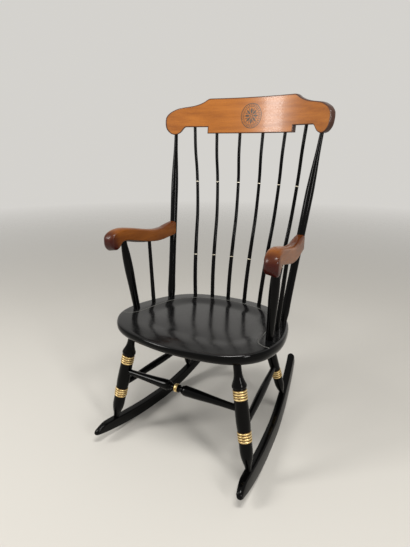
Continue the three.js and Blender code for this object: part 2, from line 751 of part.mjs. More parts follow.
// A countersunk screw runs forwards through the post into the arm, with a plug over its head
function make_screw(hand, behind) {
  const back = behind.clone().add(new THREE.Vector3(0, post_radius * 0.97, 0));
  const forward = new THREE.Vector3(0, -1, 0);
  const head = back.clone().addScaledVector(forward, plug_length + fit_gap);
  const tip = head.clone().addScaledVector(forward, screw_length);
  const plug_profile = [[0, plug_radius], [plug_length, plug_radius]];
  const plug_end = back.clone().addScaledVector(forward, plug_length);
  turned(`screw_plug_${hand}`, back, plug_end, plug_profile, socket_sides, lacquer);
  const profile = [
    [0, screw_head_radius], [screw_head_height, screw_shank_radius], [screw_length, screw_shank_radius],
  ];
  turned(`arm_screw_${hand}`, head, tip, profile, spindle_sides, steel);
  const backward = forward.clone().negate();
  const bore = socket(tip, backward, screw_shank_radius, screw_length);
  const head_floor = head.clone().addScaledVector(forward, screw_head_height);
  const counterbore = socket(head_floor, backward, plug_radius, screw_head_height + plug_length);
  return { tools: [bore, counterbore] };
}

function make_back(seat_cuts, crest_cuts) {
  for (const side of [1, -1]) {
    const hand = side > 0 ? 'left' : 'right';
    for (let k = 0; k < spindle_foot_x.length; k += 1) {
      const foot = mirrored(on_seat(spindle_foot_x[k], spindle_foot_y[k]), side);
      const top = mirrored(under_crest(spindle_top_x[k]), side);
      const spindle = make_spindle(`back_spindle_${hand}_${k + 1}`, foot, top);
      seat_cuts.push(socket(spindle.start, spindle.foot_out, spindle_foot_radius, seat_socket_depth));
      const inward = spindle.top_out.clone().negate();
      crest_cuts.push(socket(spindle.end, inward, spindle_top_radius, crest_socket_depth));
    }
  }
}

function cross_stretcher(name, legs, kind, height, middle) {
  const [from, to] = legs.map((leg) => at_height(leg[kind].foot, leg[kind].top, height));
  const stretcher = make_stretcher(name, from, to, middle, stretcher_end_radius);
  const holes = grown(stretcher, stretcher_end_radius, stretcher_end_radius, stretcher_tenon, stretcher_tenon);
  legs[0][`${kind}_cuts`].push(holes.foot);
  legs[1][`${kind}_cuts`].push(holes.top);
}

const seat_cuts = [];
const crest_cuts = [];
const seat = make_seat();
const crest = make_crest();
const sides = [1, -1].map((side) => make_side(side, seat_cuts, crest_cuts));
make_back(seat_cuts, crest_cuts);
cross_stretcher('front_stretcher', sides, 'front', front_stretcher_height, beaded_middle);
cross_stretcher('rear_stretcher', sides, 'rear', rear_stretcher_height, plain_middle);
for (const legs of sides) {
  cut(legs.front.mesh, legs.front_cuts);
  cut(legs.rear.mesh, legs.rear_cuts);
}
cut(seat, seat_cuts);
cut(crest, crest_cuts);

const middle = new THREE.Box3().setFromObject(chair, true).getCenter(new THREE.Vector3());
chair.position.set(-middle.x, -middle.y, 0);

export default chair;
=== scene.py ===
import math

import bmesh
import bpy
import numpy as np
from mathutils import Matrix, Vector
from mathutils.bvhtree import BVHTree


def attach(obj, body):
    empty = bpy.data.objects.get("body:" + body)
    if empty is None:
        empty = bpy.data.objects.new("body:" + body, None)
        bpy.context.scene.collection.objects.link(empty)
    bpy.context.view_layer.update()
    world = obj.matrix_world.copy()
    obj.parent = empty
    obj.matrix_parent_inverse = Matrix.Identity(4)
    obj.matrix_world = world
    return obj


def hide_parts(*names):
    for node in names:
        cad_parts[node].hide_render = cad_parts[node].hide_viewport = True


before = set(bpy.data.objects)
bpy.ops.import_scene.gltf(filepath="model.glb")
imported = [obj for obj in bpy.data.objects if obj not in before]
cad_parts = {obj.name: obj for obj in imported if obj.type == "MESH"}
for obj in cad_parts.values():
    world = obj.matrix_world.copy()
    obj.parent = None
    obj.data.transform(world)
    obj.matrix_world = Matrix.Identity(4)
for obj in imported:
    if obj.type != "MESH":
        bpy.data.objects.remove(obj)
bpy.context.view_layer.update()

# Sizes are millimetres in the chair's own frame, whose origin lies CENTRE_Y behind the model's. +X is the
# sitter's left and +Y is the back. SHARE and SHARES in a name say that numbers are shares of another size.
MM = 0.001
CENTRE_Y = 12.0

# Seat
SEAT_HALF_WIDTH = 274.0
SEAT_FRONT = -309.0
SEAT_BACK = 182.0
SEAT_HEIGHT = 403.5
SEAT_FALL_SHARE = 0.0665
SEAT_THICKNESS = 45.0
SEAT_ROLL_START = -130.0
SEAT_ROLL_DROP = 15.0
SEAT_BORDER = 44.0
SEAT_DISH_DEPTH = 9.0
SEAT_DISH_RUN = 64.0
SEAT_DISH_FRONT_SHARE = 0.4
SEAT_OUTLINE_SHARES = [
    (0, 0), (0.30, 0.014), (0.595, 0.051), (0.80, 0.116), (0.95, 0.230), (1.0, 0.385),
    (0.971, 0.542), (0.876, 0.723), (0.73, 0.857), (0.551, 0.929), (0.285, 0.984), (0, 1),
]
SEAT_OUTLINE_STEPS = 14
# The edge from the underside up: inset from the outline, share of the thickness, depth below the top
SEAT_EDGE = [
    (27, 0.0, 45.0), (23, 0.012, 44.5), (13.5, 0.10, 40.5), (7.5, 0.20, 36.0), (3.4, 0.34, 29.7),
    (1.0, 0.48, 23.5), (0.0, 0.62, 17.0), (0.35, 0.75, 11.2), (1.5, 0.867, 6.0), (3.3, 0.94, 2.6),
    (5.6, 0.985, 0.7), (8.5, 1.0, 0.0),
]
SEAT_EDGE_STEPS = 34
SEAT_TOP_INSETS = [14, 22, 32, 40, 46, 54, 62, 70, 78, 86, 94, 102, 110, 125, 142, 160, 180, 200, 220, 236]
SEAT_SHADED_RIM_SHARE = 0.93
# The scribed groove's right half, from the middle of the back to the front corner
SEAT_GROOVE = [
    (0, 136), (33, 134), (72, 127), (108, 115), (140, 95), (170, 62), (192, 20), (205, -30), (210, -81),
    (212, -112), (214, -136), (217, -152), (223, -164), (232, -172), (242, -177), (250, -179),
    (256, -179.5), (261, -179.5),
]
SEAT_GROOVE_RADIUS = 2.0
SEAT_GROOVE_DEPTH = 1.0
SEAT_GROOVE_STEPS = 6
SEAT_GROOVE_SIDES = 14
SEAT_GROOVE_SHARP = 24
ABOVE_SEAT = 600.0

# Rockers
ROCKER_FRONT = -347.0
ROCKER_REAR = 323.0
ROCKER_LOW = -76.0
ROCKER_FLAT_REAR = -8.0
ROCKER_FRONT_RADIUS = 900.0
ROCKER_FRONT_ARC = 180.0
ROCKER_REAR_RADIUS = 730.0
ROCKER_THICKNESS = 26.0
ROCKER_HEIGHT = 42.0
ROCKER_TIP_HEIGHT = 28.0
# The radius of the lower and upper edges, and how many times larger it is at the tips
ROCKER_EDGES = ((1.2, 2.5), (4.0, 3.0))
# For each end: the run that rounds off, the tip's height, level and width as shares, the taper's run
ROCKER_NOSE = (46.0, 0.18, 0.04, 0.70, 95.0)
ROCKER_HEEL = (12.0, 0.60, 0.50, 0.90, 12.0)
ROCKER_CORNER = 9.0
ROCKER_CORNER_SHARE = 0.38
ROCKER_LEAN_SHARE = 0.15
ROCKER_STEPS = 100
ROCKER_TIP_STEPS = 16
ROCKER_EDGE_STEPS = 5

# Legs: their turnings' profiles and gilt bands, as shares of the length and the radius
FRONT_FOOT = (246.8, -259.0)
REAR_FOOT = (204.0, 139.0)
FRONT_LEG_TOP = (183.0, -221.0)
REAR_LEG_TOP = (153.0, 57.0)
FRONT_LEG_RADIUS = 20.6
REAR_LEG_RADIUS = 18.0
FRONT_LEG_SHARES = [
    (-0.02, 0.40), (0.0, 0.41), (0.045, 0.50), (0.085, 0.68), (0.13, 0.85), (0.175, 0.92), (0.22, 0.93),
    (0.268, 0.925), (0.376, 0.945), (0.42, 0.985), (0.464, 1.01), (0.52, 1.0), (0.575, 0.985), (0.62, 0.965),
    (0.652, 0.95), (0.7505, 0.93), (0.7515, 0.90), (0.755, 0.955), (0.759, 0.955), (0.7615, 0.91),
    (0.765, 0.99), (0.770, 1.04), (0.777, 1.06), (0.786, 1.045), (0.798, 0.98), (0.813, 0.88), (0.83, 0.78),
    (0.848, 0.69), (0.868, 0.625), (0.895, 0.585), (0.93, 0.57), (1.02, 0.575),
]
FRONT_BANDS = [(0.2735, 0.3715), (0.657, 0.7495)]
REAR_LEG_SHARES = [
    (-0.02, 0.40), (0.0, 0.42), (0.04, 0.50), (0.10, 0.76), (0.17, 0.91), (0.262, 0.92), (0.396, 0.935),
    (0.45, 0.965), (0.62, 1.0), (0.84, 0.94), (1.02, 0.80),
]
REAR_BANDS = [(0.277, 0.390)]
LEG_STEP = 2.2
RINGS_PER_BAND = 4
RING_RADIUS_SHARE = 1.01
RING_GAP_SHARE = 0.1
RING_RISE = 2.0
BAND_DEPTH = 2.1
RING_GAP_DEPTH = 2.2
RING_GAP_LIMIT = 3.0
BEAD_STEPS = np.linspace(0, 1, 9)
BEAD_POWER = 0.6
NUDGE = 0.01

# Stretchers
SIDE_STRETCHER_FRONT_Z = 182.0
SIDE_STRETCHER_REAR_Z = 194.5
REAR_STRETCHER_Z = 250.0
# The side and rear stretchers are plain
PLAIN_RADIUS = 12.6
PLAIN_END_RADIUS = 9.0
PLAIN_END_SHARE = 0.02
PLAIN_STEPS = 33
FRONT_STRETCHER_Z = 235.0
FRONT_STRETCHER_STEP = 3.0
# The front stretcher's radii, by the distance from a leg's axis for TAPER, and for what follows by the
# distance from the middle bead's centre. A bead or cove is its start, run, radius and rise.
TAPER = [(10, 9.6), (40, 10.0), (70, 10.9), (100, 12.2), (130, 13.9)]
SWELL = [(46, 15.8), (33, 16.2), (28.5, 15.4), (26.5, 12.6), (25.8, 10.4)]
SIDE_BEAD = (25, 5, 9.8, 3.0)
NECK = (19.4, 9.9)
COVE = (18.8, 7.4, 10.0, -1.8)
FILLET = [(10.8, 9.8), (10.4, 11.8), (8.6, 12.0), (8.2, 9.6)]
MIDDLE_BEAD = (7.6, 15.2, 9.4, 4.0)
MIDDLE_BEAD_SHIFT = 8.0
MIDDLE_BEAD_GILT_HALF = 5.6
COVE_STEPS = np.linspace(0.1, 0.9, 7)
MIDDLE_BEAD_STEPS = np.linspace(0, 1, 19)

# Back posts and spindles
POST_FOOT = (220.0, 51.5)
POST_TOP_X = 264.5
POST_RADIUS = 12.9
POST_SHARES = [
    (-0.01, 0.93), (0.012, 0.98), (0.045, 1.07), (0.14, 0.98), (0.30, 0.95), (0.50, 0.98), (0.68, 1.0),
    (0.78, 0.87), (0.92, 0.56), (1.03, 0.46),
]
SPINDLE_FEET = [(33.0, 155.0), (95.5, 146.0), (157.5, 123.0)]
SPINDLE_TOP_X = [43.4, 128.0, 205.0]
SPINDLE_FOOT_RADIUS = 7.2
SPINDLE_TOP_RADIUS = 5.5
SPINDLE_TAPER_SHARES = (0.1, 0.75)
SPINDLE_BEND = 17.5
SPINDLE_BEND_SHARES = [
    (0, 0), (0.125, -0.07), (0.25, 0.14), (0.375, 0.53), (0.5, 1), (0.625, 1.03), (0.75, 0.79), (0.875, 0.2),
    (1, 0),
]
SPINDLE_STEPS = 16
SPINDLE_SIDES = 24
SPINDLE_RINGS_Z = (550.0, 815.5)
SPINDLE_RING_HALF = 1.1
SPINDLE_RING_MARGIN = 0.4

# Crest rail
CREST_FACE_Y = 245.8
CREST_RADIUS = 495.0
CREST_HALF_WIDTH = 292.5
CREST_THICKNESS = 19.0
CREST_BOTTOM = 984.0
CREST_HEIGHT = 118.0
CREST_LEAN_SHARE = 0.127
CREST_STEP_X = 157.6
CREST_SHOULDER = 22.0
CREST_TOP_SHARES = [
    (0, 1.0), (0.30, 1.0), (0.53, 0.998), (0.541, 0.990), (0.56, 0.965), (0.595, 0.905), (0.66, 0.832),
    (0.73, 0.786), (0.79, 0.762), (0.856, 0.732), (0.885, 0.708), (0.918, 0.666), (0.955, 0.604),
    (0.976, 0.547), (0.99, 0.49), (0.998, 0.43), (1.0, 0.36),
]
CREST_LOBE_SHARES = [
    (0.79, 0.184), (0.805, 0.150), (0.82, 0.092), (0.84, 0.028), (0.86, -0.008), (0.885, -0.032),
    (0.906, -0.036), (0.935, -0.015), (0.96, 0.035), (0.98, 0.10), (0.992, 0.175), (0.998, 0.26), (1.0, 0.34),
]
CREST_MIDDLE_STEPS = 34
CREST_SHOULDER_STEPS = 22
CREST_LOBE_STEPS = 34
CREST_CORNER_SHARE = 0.0006
CREST_SHOULDER_START_SHARE = 0.01
# The rounded edge: depth behind the face, inset from the outline, painted shade on the edge, and stain at the
# ends
CREST_EDGE = [
    (0.0, 4.2, 0.0, 0.0), (0.0, 2.6, 0.75, 0.0), (0.35, 1.25, 1.0, 0.8), (1.1, 0.45, 1.0, 0.8),
    (2.6, 0.0, 1.0, 0.8),
]
CREST_END_X = (288.0, 300.0)
MITRE_LIMIT = 0.35

# The rosette on the crest rail: x and z of its middle, half its width and height, ink and gap to the wood
ROSETTE_CENTRE = (-2.0, 1041.0)
ROSETTE_HALF = (38.5, 41.0)
ROSETTE_INK = 0.25
ROSETTE_GAP = 0.02
# Rings and leaves run between shares of the oval. A leaf's last number is half its width.
ROSETTE_RING_SHARES = ((0.945, 1.0), (0.72, 0.755), (0.085, 0.135))
ROSETTE_SIDES = 96
BEADS = 32
BEAD_LEAF = (0.795, 0.905, 1.5)
PETALS = 8
PETAL_LEAF = (0.17, 0.66, 3.6)
SMALL_LEAF = (0.36, 0.68, 1.3)
LEAF_STEPS = 11
LEAF_TIP_HALF = 0.15
LEAF_POWERS = (0.8, 0.9)

# Arms. The curve's columns are shares of the length, and of the rise for the top and the underside.
ARM_FRONT = -220.5
ARM_LOW = 618.0
ARM_RISE = 80.0
ARM_REAR_GAP = 4.0
ARM_REAR_SHARE = 0.43
ARM_FRONT_ROUND = 12.0
ARM_WIDTHS = (40.0, 46.0, 31.0)
ARM_CENTRES = (267.0, 248.0, 241.5)
ARM_SHARES = [
    (0.0, 0.535, 0.50), (0.0015, 0.58, 0.45), (0.005, 0.64, 0.375), (0.015, 0.71, 0.285), (0.032, 0.79, 0.19),
    (0.052, 0.845, 0.132), (0.070, 0.88, 0.116), (0.085, 0.90, 0.132), (0.103, 0.918, 0.185),
    (0.122, 0.932, 0.275), (0.142, 0.94, 0.355), (0.162, 0.945, 0.392), (0.185, 0.943, 0.405),
    (0.22, 0.93, 0.396), (0.28, 0.89, 0.345), (0.34, 0.845, 0.288), (0.42, 0.775, 0.21), (0.50, 0.705, 0.142),
    (0.60, 0.63, 0.075), (0.70, 0.59, 0.045), (0.78, 0.595, 0.055), (0.85, 0.645, 0.085), (0.92, 0.70, 0.115),
    (1.0, 0.745, 0.15),
]
# By this much the outer face reaches lower, and the inner one ends higher, along the length
ARM_TILTS = [
    (0.0, 1.0), (0.05, 2.0), (0.12, 2.5), (0.2, 3.3), (0.28, 3.5), (0.5, 3.5), (0.7, 2.6), (0.8, 2.2),
    (1.0, 0.0),
]
ARM_CROWN = 9.0
ARM_CROWN_WIDTH_SHARE = 0.82
ARM_LOWER_EDGES = (9.0, 4.0)
ARM_LOWER_EDGE_SHARES = (0.10, 0.24)
# Tilt, crown and lower edges are at most the height over these numbers, and edges at most these shares
# of the half width and the height
ARM_TILT_PARTS = 12
ARM_CROWN_PARTS = 2.1
ARM_LOWER_PARTS = 2.2
EDGE_WIDTH_SHARE = 0.9
EDGE_HEIGHT_SHARE = 0.45
ARM_SCROLL_SHARE = 0.2
ARM_SCROLL_STEPS = 34
ARM_RUN_SHARE = 0.212
ARM_RUN_STEPS = 60
ARM_EDGE_STEPS = 8
# Where the stain darkens: the scroll's front, its low part and the rear end's top, and how much
STAIN_FRONT = (186.1, 215.0)
STAIN_LOW_Z = (619.4, 678.8)
STAIN_LOW_FRONT = (150.0, 190.0)
STAIN_UPPER_SHARES = (0.70, 0.96)
STAIN_REAR_SHARES = (0.50, 0.80)
STAIN_WEIGHTS = (0.85, 0.75, 0.62)
# Where along the arm, and on how steep a face, its underside turns matt and darker with painted shade
UNDERSIDE_SHARES = (0.2, 0.26)
UNDERSIDE_SLOPES = (0.6, 1.0)
UNDERSIDE_PAINTED_SHADE = 0.97
SUPPORT_FOOT = (240.5, -126.5)
SUPPORT_TOP = (260.5, -153.0)
SUPPORT_RADIUS = 14.5
SUPPORT_SHARES = [
    (-0.02, 0.77), (0.04, 0.79), (0.13, 0.82), (0.28, 0.86), (0.43, 0.93), (0.58, 1.0), (0.73, 0.97),
    (0.87, 0.83), (0.93, 0.73), (1.04, 0.70),
]
ARM_SPINDLE_FOOT = (232.0, -42.5)
ARM_SPINDLE_TOP = (248.0, -33.5)
ARM_SPINDLE_RADIUS = 7.2
ARM_SPINDLE_SHARES = [(-0.02, 0.93), (0.03, 0.99), (0.5, 0.92), (0.94, 0.84), (1.03, 0.82)]

# Floor, light and camera, in metres and degrees
FLOOR_REACH = 14.0
FLOOR_COLOUR = (0.53, 0.515, 0.48)
FLOOR_FADE = (1.6, 6.0)
LIGHT_COLOUR = (1.0, 0.98, 0.95)
BACKDROP_COLOUR = (0.66, 0.645, 0.615)
# Each lamp's name, place, target, width and height, and watts
LAMPS = [
    ("window", (-2.0, -2.15, 2.1), (0, 0, 0.6), (0.7, 1.3), 64),
    ("side_window", (3.0, -1.6, 1.7), (0, 0, 0.5), (0.5, 1.4), 54),
    ("sky", (0.8, -1.0, 3.2), (0, 0, 0.4), (1.4, 0.5), 66),
]
CAMERA_PLACE = (0.6111, -1.1475, 0.9467)
CAMERA_YAW = 29.75
CAMERA_PITCH = 17.435
CAMERA_ROLL = 0.07


# Curves

def lerp(a, b, t):
    return a + (b - a) * t


def clamp(x, low=0.0, high=1.0):
    return max(low, min(high, x))


def smoothstep(x, low, high):
    t = clamp((x - low) / (high - low))
    return t * t * (3 - 2 * t)


def smooth_curve(points, where):
    """A curve through (x, y) points that doesn't overshoot them, read at each place in where."""
    xs, ys = np.array(points, float).T
    h = np.diff(xs)
    d = np.diff(ys) / h
    slopes = np.zeros(len(xs))
    slopes[0], slopes[-1] = d[0], d[-1]
    for i in range(1, len(xs) - 1):
        if d[i - 1] * d[i] > 0:
            w1, w2 = 2 * h[i] + h[i - 1], h[i] + 2 * h[i - 1]
            slopes[i] = (w1 + w2) / (w1 / d[i - 1] + w2 / d[i])
    where = np.clip(np.asarray(where, float), xs[0], xs[-1])
    k = np.clip(np.searchsorted(xs, where, side="right") - 1, 0, len(h) - 1)
    t = (where - xs[k]) / h[k]
    before = (1 + 2 * t) * (1 - t) ** 2 * ys[k] + t * (1 - t) ** 2 * h[k] * slopes[k]
    after = t * t * (3 - 2 * t) * ys[k + 1] + t * t * (t - 1) * h[k] * slopes[k + 1]
    return before + after


def curve_at(points, place):
    return float(smooth_curve(points, [place])[0])


def catmull(points, per_span):
    """Points along a curve through all but the first and last of points."""
    out = []
    for a, b, c, d in zip(points, points[1:], points[2:], points[3:]):
        for k in range(per_span):
            t = k / per_span
            square, cube = 2 * a - 5 * b + 4 * c - d, 3 * b - a - 3 * c + d
            out.append(0.5 * (2 * b + (c - a) * t + square * t**2 + cube * t**3))
    out.append(points[-2])
    return out


def with_ends(points):
    """The points with one more at each end, straight on, for catmull to leave out."""
    return [2 * points[0] - points[1], *points, 2 * points[-1] - points[-2]]


def vec(x, y, z):
    return np.array([x, y, z], float)


def unit(v):
    return v / np.linalg.norm(v)


def on_side(side, *points):
    """Points of the left half for side 1, or their mirror images for side -1."""
    return [p * vec(side, 1, 1) for p in points]


def at_height(foot, top, z):
    return foot + (top - foot) * ((z - foot[2]) / (top[2] - foot[2]))


# Making pieces

def new_mesh(name, points, faces, materials):
    mesh = bpy.data.meshes.new(name)
    mesh.from_pydata([(p[0] * MM, (p[1] + CENTRE_Y) * MM, p[2] * MM) for p in points], [], faces)
    for material in materials:
        mesh.materials.append(material)
    return mesh


def new_object(name, data):
    thing = bpy.data.objects.new(name, data)
    bpy.context.scene.collection.objects.link(thing)
    return thing


def edit_mesh(mesh, turn_out=False, smooth=False, sharp=None):
    """Turns faces outwards, smooths them, and keeps edges sharp that bend by more than sharp degrees."""
    bm = bmesh.new()
    bm.from_mesh(mesh)
    if turn_out:
        bmesh.ops.recalc_face_normals(bm, faces=bm.faces)
    if smooth:
        for face in bm.faces:
            face.smooth = True
    if sharp is not None:
        limit = math.radians(sharp)
        for edge in bm.edges:
            edge.smooth = not (len(edge.link_faces) == 2 and edge.calc_face_angle() > limit)
    bm.to_mesh(mesh)
    bm.free()


def make_piece(name, points, faces, materials, nodes, face_slots=None, shades=None, sharp=38):
    """A piece from points in the chair's own frame. shades are values per point for its material."""
    mesh = new_mesh(name, points, faces, materials)
    if face_slots is not None:
        mesh.polygons.foreach_set("material_index", face_slots)
    for key, values in (shades or {}).items():
        shade = mesh.attributes.new(key, "FLOAT", "POINT")
        shade.data.foreach_set("value", np.asarray(values, np.float32))
    edit_mesh(mesh, turn_out=True, smooth=True, sharp=sharp)
    piece = new_object(name, mesh)
    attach(piece, "root")
    if nodes:
        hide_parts(*nodes)
    return piece


def belt(a, b, n):
    """Faces between two closed rows of n points, which start at a and b."""
    return [(a + k, a + (k + 1) % n, b + (k + 1) % n, b + k) for k in range(n)]


def loft(rings):
    """Points and faces of a closed skin over rings of equally many points, with a fan over each end."""
    n = len(rings[0])
    points = [p for ring in rings for p in ring]
    faces = []
    for row in range(len(rings) - 1):
        faces += belt(row * n, (row + 1) * n, n)
    for row, flip in ((0, True), (len(rings) - 1, False)):
        hub = len(points)
        points.append(np.mean(rings[row], axis=0))
        start = row * n
        for k in range(n):
            a, b = start + k, start + (k + 1) % n
            faces.append((hub, b, a) if flip else (hub, a, b))
    return points, faces


def section(half, low, high, lower, upper, steps, tilt=0.0):
    """A board's section as (x, z, angle) points round its corners, whose arcs are (width, height) pairs.

    The underside lies tilt below low at the outer side, and as much above it at the inner one."""
    for sx, sz, start in ((-1, -1, 180), (1, -1, 270), (1, 1, 0), (-1, 1, 90)):
        across, rise = upper if sz > 0 else lower
        middle = high - rise if sz > 0 else low - tilt * sx + rise
        for k in range(steps + 1):
            turn = math.radians(start + 90 * k / steps)
            yield sx * (half - across) + across * math.cos(turn), middle + rise * math.sin(turn), turn


def axes_of(direction):
    hint = (0.0, 0.0, 1.0) if abs(direction[0]) > 0.7 else (1.0, 0.0, 0.0)
    side = unit(np.cross(direction, hint))
    return unit(np.cross(side, direction)), side


def tube_rings(centres, radii, sides):
    turns = 2 * math.pi * np.arange(sides) / sides
    rings = []
    for k, (centre, radius) in enumerate(zip(centres, radii)):
        before, after = centres[max(k - 1, 0)], centres[min(k + 1, len(centres) - 1)]
        across, side = axes_of(unit(after - before))
        rings.append([centre + radius * (math.cos(t) * across + math.sin(t) * side) for t in turns])
    return rings


def gilt_slots(places, gilt, sides):
    """Slots for a loft's faces: 1 for the rows whose middle lies in a (low, high) stretch of gilt."""
    slots = []
    for a, b in zip(places, places[1:]):
        slots += [int(any(low < (a + b) / 2 < high for low, high in gilt))] * sides
    return slots + [0] * (2 * sides)


def turned(node, foot, top, profile, sides=48, kind="turning", gilt=(), crown=None):
    """A turned piece. profile is (distance from foot, radius) pairs, and gilt is (low, high) stretches.

    crown is the gilt's (outer radius, groove depth), by which its material paints shade into the grooves."""
    direction = unit(top - foot)
    across, side = axes_of(direction)
    turns = 2 * math.pi * np.arange(sides) / sides
    circle = [math.cos(t) * across + math.sin(t) * side for t in turns]
    points, faces = loft([[foot + d * direction + r * c for c in circle] for d, r in profile])
    slots = gilt_slots([d for d, _ in profile], gilt, sides)
    groove = []
    for _, radius in profile:
        groove += [clamp((crown[0] - radius) / crown[1]) if crown else 0.0] * sides
    groove += [0.0, 0.0]
    make_piece(f"{node}_{kind}", points, faces, [BLACK, GILT], [node], slots,
               {"groove": groove})


def turned_by_shares(node, axis, shares, radius, step, sides, kind="turning"):
    foot, top = axis
    length = np.linalg.norm(top - foot)
    profile = spread([(s * length, r * radius) for s, r in shares], step)
    turned(node, foot, top, profile, sides, kind)


def spread(points, step, fixed=()):
    """A smooth profile through points with a place every step, and at each fixed place."""
    low, high = points[0][0], points[-1][0]
    places = set(np.linspace(low, high, max(2, int((high - low) / step)) + 1).round(3))
    places |= {round(p, 3) for p in fixed}
    places = sorted(places)
    return list(zip(places, smooth_curve(points, places)))


def bulge(start, run, base, rise, steps, power=BEAD_POWER):
    return [(start + run * t, base + rise * math.sin(math.pi * t) ** power) for t in steps]


def with_beads(profile, beads):
    """Replaces stretches of a profile by round beads. beads are (low, high, base radius, rise)."""
    kept = [p for p in profile if not any(low - NUDGE <= p[0] <= high + NUDGE for low, high, _, _ in beads)]
    for low, high, base, rise in beads:
        kept += bulge(low, high - low, base, rise, BEAD_STEPS)
    return sorted(kept)


# Materials. Colours are linear, and a noise's scale is its cells per metre along each axis.

BLACK_TONES = ((0.0007, 0.0007, 0.0008), (0.0018, 0.0018, 0.0017))
SEAT_TONES = ((0.0022, 0.0022, 0.0024), (0.0055, 0.0055, 0.0056))
# The seat groove's pale grey is a painted highlight
GROOVE_HIGHLIGHT_TONES = ((0.050, 0.050, 0.046), (0.110, 0.110, 0.100))
CREST_TONES = ((0.240, 0.076, 0.010), (0.310, 0.104, 0.014), (0.370, 0.132, 0.021))
ARM_TONES = ((0.118, 0.032, 0.0022), (0.160, 0.047, 0.0040), (0.205, 0.065, 0.0072))
# The gilt's colour deep in its grooves: painted shade
GILT_GROOVE_SHADE = (0.115, 0.058, 0.016)
WOOD_STREAKS = ((0.86, 0.81, 0.75), (1.0, 1.0, 1.0))
WOOD_CLOUDS = ((0.90, 0.86, 0.80), (1.04, 1.03, 1.0))
WOOD_END = (0.032, 0.0035, 0.0015)
WOOD_PAINTED_SHADE = (0.040, 0.012, 0.005)
INK_TONES = ((0.020, 0.010, 0.004), (0.060, 0.034, 0.014))
STEEL_TONES = ((0.30, 0.31, 0.33), (0.50, 0.51, 0.53))


def new_material(name):
    material = bpy.data.materials.new(name)
    material.use_nodes = True
    return material, material.node_tree, material.node_tree.nodes["Principled BSDF"]


def noise(tree, scale, detail, roughness=0.55):
    coordinates = tree.nodes.new("ShaderNodeTexCoord")
    mapping = tree.nodes.new("ShaderNodeMapping")
    mapping.inputs["Scale"].default_value = scale
    tree.links.new(coordinates.outputs["Object"], mapping.inputs["Vector"])
    node = tree.nodes.new("ShaderNodeTexNoise")
    node.inputs["Scale"].default_value = 1.0
    node.inputs["Detail"].default_value = detail
    node.inputs["Roughness"].default_value = roughness
    tree.links.new(mapping.outputs["Vector"], node.inputs["Vector"])
    return node.outputs["Fac"]


def ramp(tree, value, places, colours):
    node = tree.nodes.new("ShaderNodeValToRGB")
    elements = node.color_ramp.elements
    while len(elements) < len(places):
        elements.new(0.5)
    for element, place, colour in zip(elements, places, colours):
        element.position = place
        element.color = (*colour, 1)
    tree.links.new(value, node.inputs["Fac"])
    return node.outputs["Color"]


def to_range(tree, value, old, new):
    node = tree.nodes.new("ShaderNodeMapRange")
    for key, number in zip(("From Min", "From Max", "To Min", "To Max"), (*old, *new)):
        node.inputs[key].default_value = number
    tree.links.new(value, node.inputs["Value"])
    return node.outputs["Result"]


def mix_colour(tree, factor, first, second, kind="MIX"):
    node = tree.nodes.new("ShaderNodeMix")
    node.data_type = "RGBA"
    node.blend_type = kind
    # A mix node has a socket set for each kind of data: these are its factor, A and B for colours
    for socket, value in ((0, factor), (6, first), (7, second)):
        if isinstance(value, float):
            node.inputs[socket].default_value = value
        elif isinstance(value, tuple):
            node.inputs[socket].default_value = (*value, 1)
        else:
            tree.links.new(value, node.inputs[socket])
    return node.outputs[2]


def show_mixed(tree, factor, first, second, output):
    node = tree.nodes.new("ShaderNodeMixShader")
    for socket, value in enumerate((factor, first.outputs[0], second.outputs[0])):
        tree.links.new(value, node.inputs[socket])
    tree.links.new(node.outputs[0], tree.nodes[output].inputs["Surface"])


def larger(tree, first, second):
    node = tree.nodes.new("ShaderNodeMath")
    node.operation = "MAXIMUM"
    tree.links.new(first, node.inputs[0])
    tree.links.new(second, node.inputs[1])
    return node.outputs["Value"]


def attribute(tree, name):
    node = tree.nodes.new("ShaderNodeAttribute")
    node.attribute_name = name
    return node.outputs["Fac"]


def dress(tree, shader, colour, roughness, height, strength, distance):
    """Links a shader's colour and roughness, and bumps of that height, strength and distance."""
    node = tree.nodes.new("ShaderNodeBump")
    node.inputs["Strength"].default_value = strength
    node.inputs["Distance"].default_value = distance
    tree.links.new(height, node.inputs["Height"])
    for name, value in (("Base Color", colour), ("Roughness", roughness), ("Normal", node.outputs["Normal"])):
        tree.links.new(value, shader.inputs[name])


def black_lacquer(name, ior, tones, roughness):
    material, tree, shader = new_material(name)
    broad = noise(tree, (9, 9, 9), detail=4.0)
    fine = noise(tree, (60, 160, 60), detail=5.0)
    colour = ramp(tree, broad, (0.3, 0.75), tones)
    gloss = to_range(tree, fine, (0.35, 0.75), roughness)
    dress(tree, shader, colour, gloss, fine, strength=0.10, distance=0.0006)
    shader.inputs["IOR"].default_value = ior
    return material


def gilt_paint(name, tones):
    """Worn gilt, darkened in its grooves by painted shade that follows the shade groove."""
    material, tree, shader = new_material(name)
    wear = noise(tree, (120, 120, 120), detail=4.0)
    colour = ramp(tree, wear, (0.32, 0.50, 0.80), tones)
    groove = to_range(tree, attribute(tree, "groove"), (0.12, 0.72), (0.0, 1.0))
    # Painted shade in the grooves between the gilt's beads
    colour = mix_colour(tree, groove, colour, GILT_GROOVE_SHADE)
    gloss = to_range(tree, wear, (0.3, 0.8), (0.38, 0.24))
    dress(tree, shader, colour, gloss, wear, strength=0.15, distance=0.0004)
    shader.inputs["Metallic"].default_value = 0.75
    return material


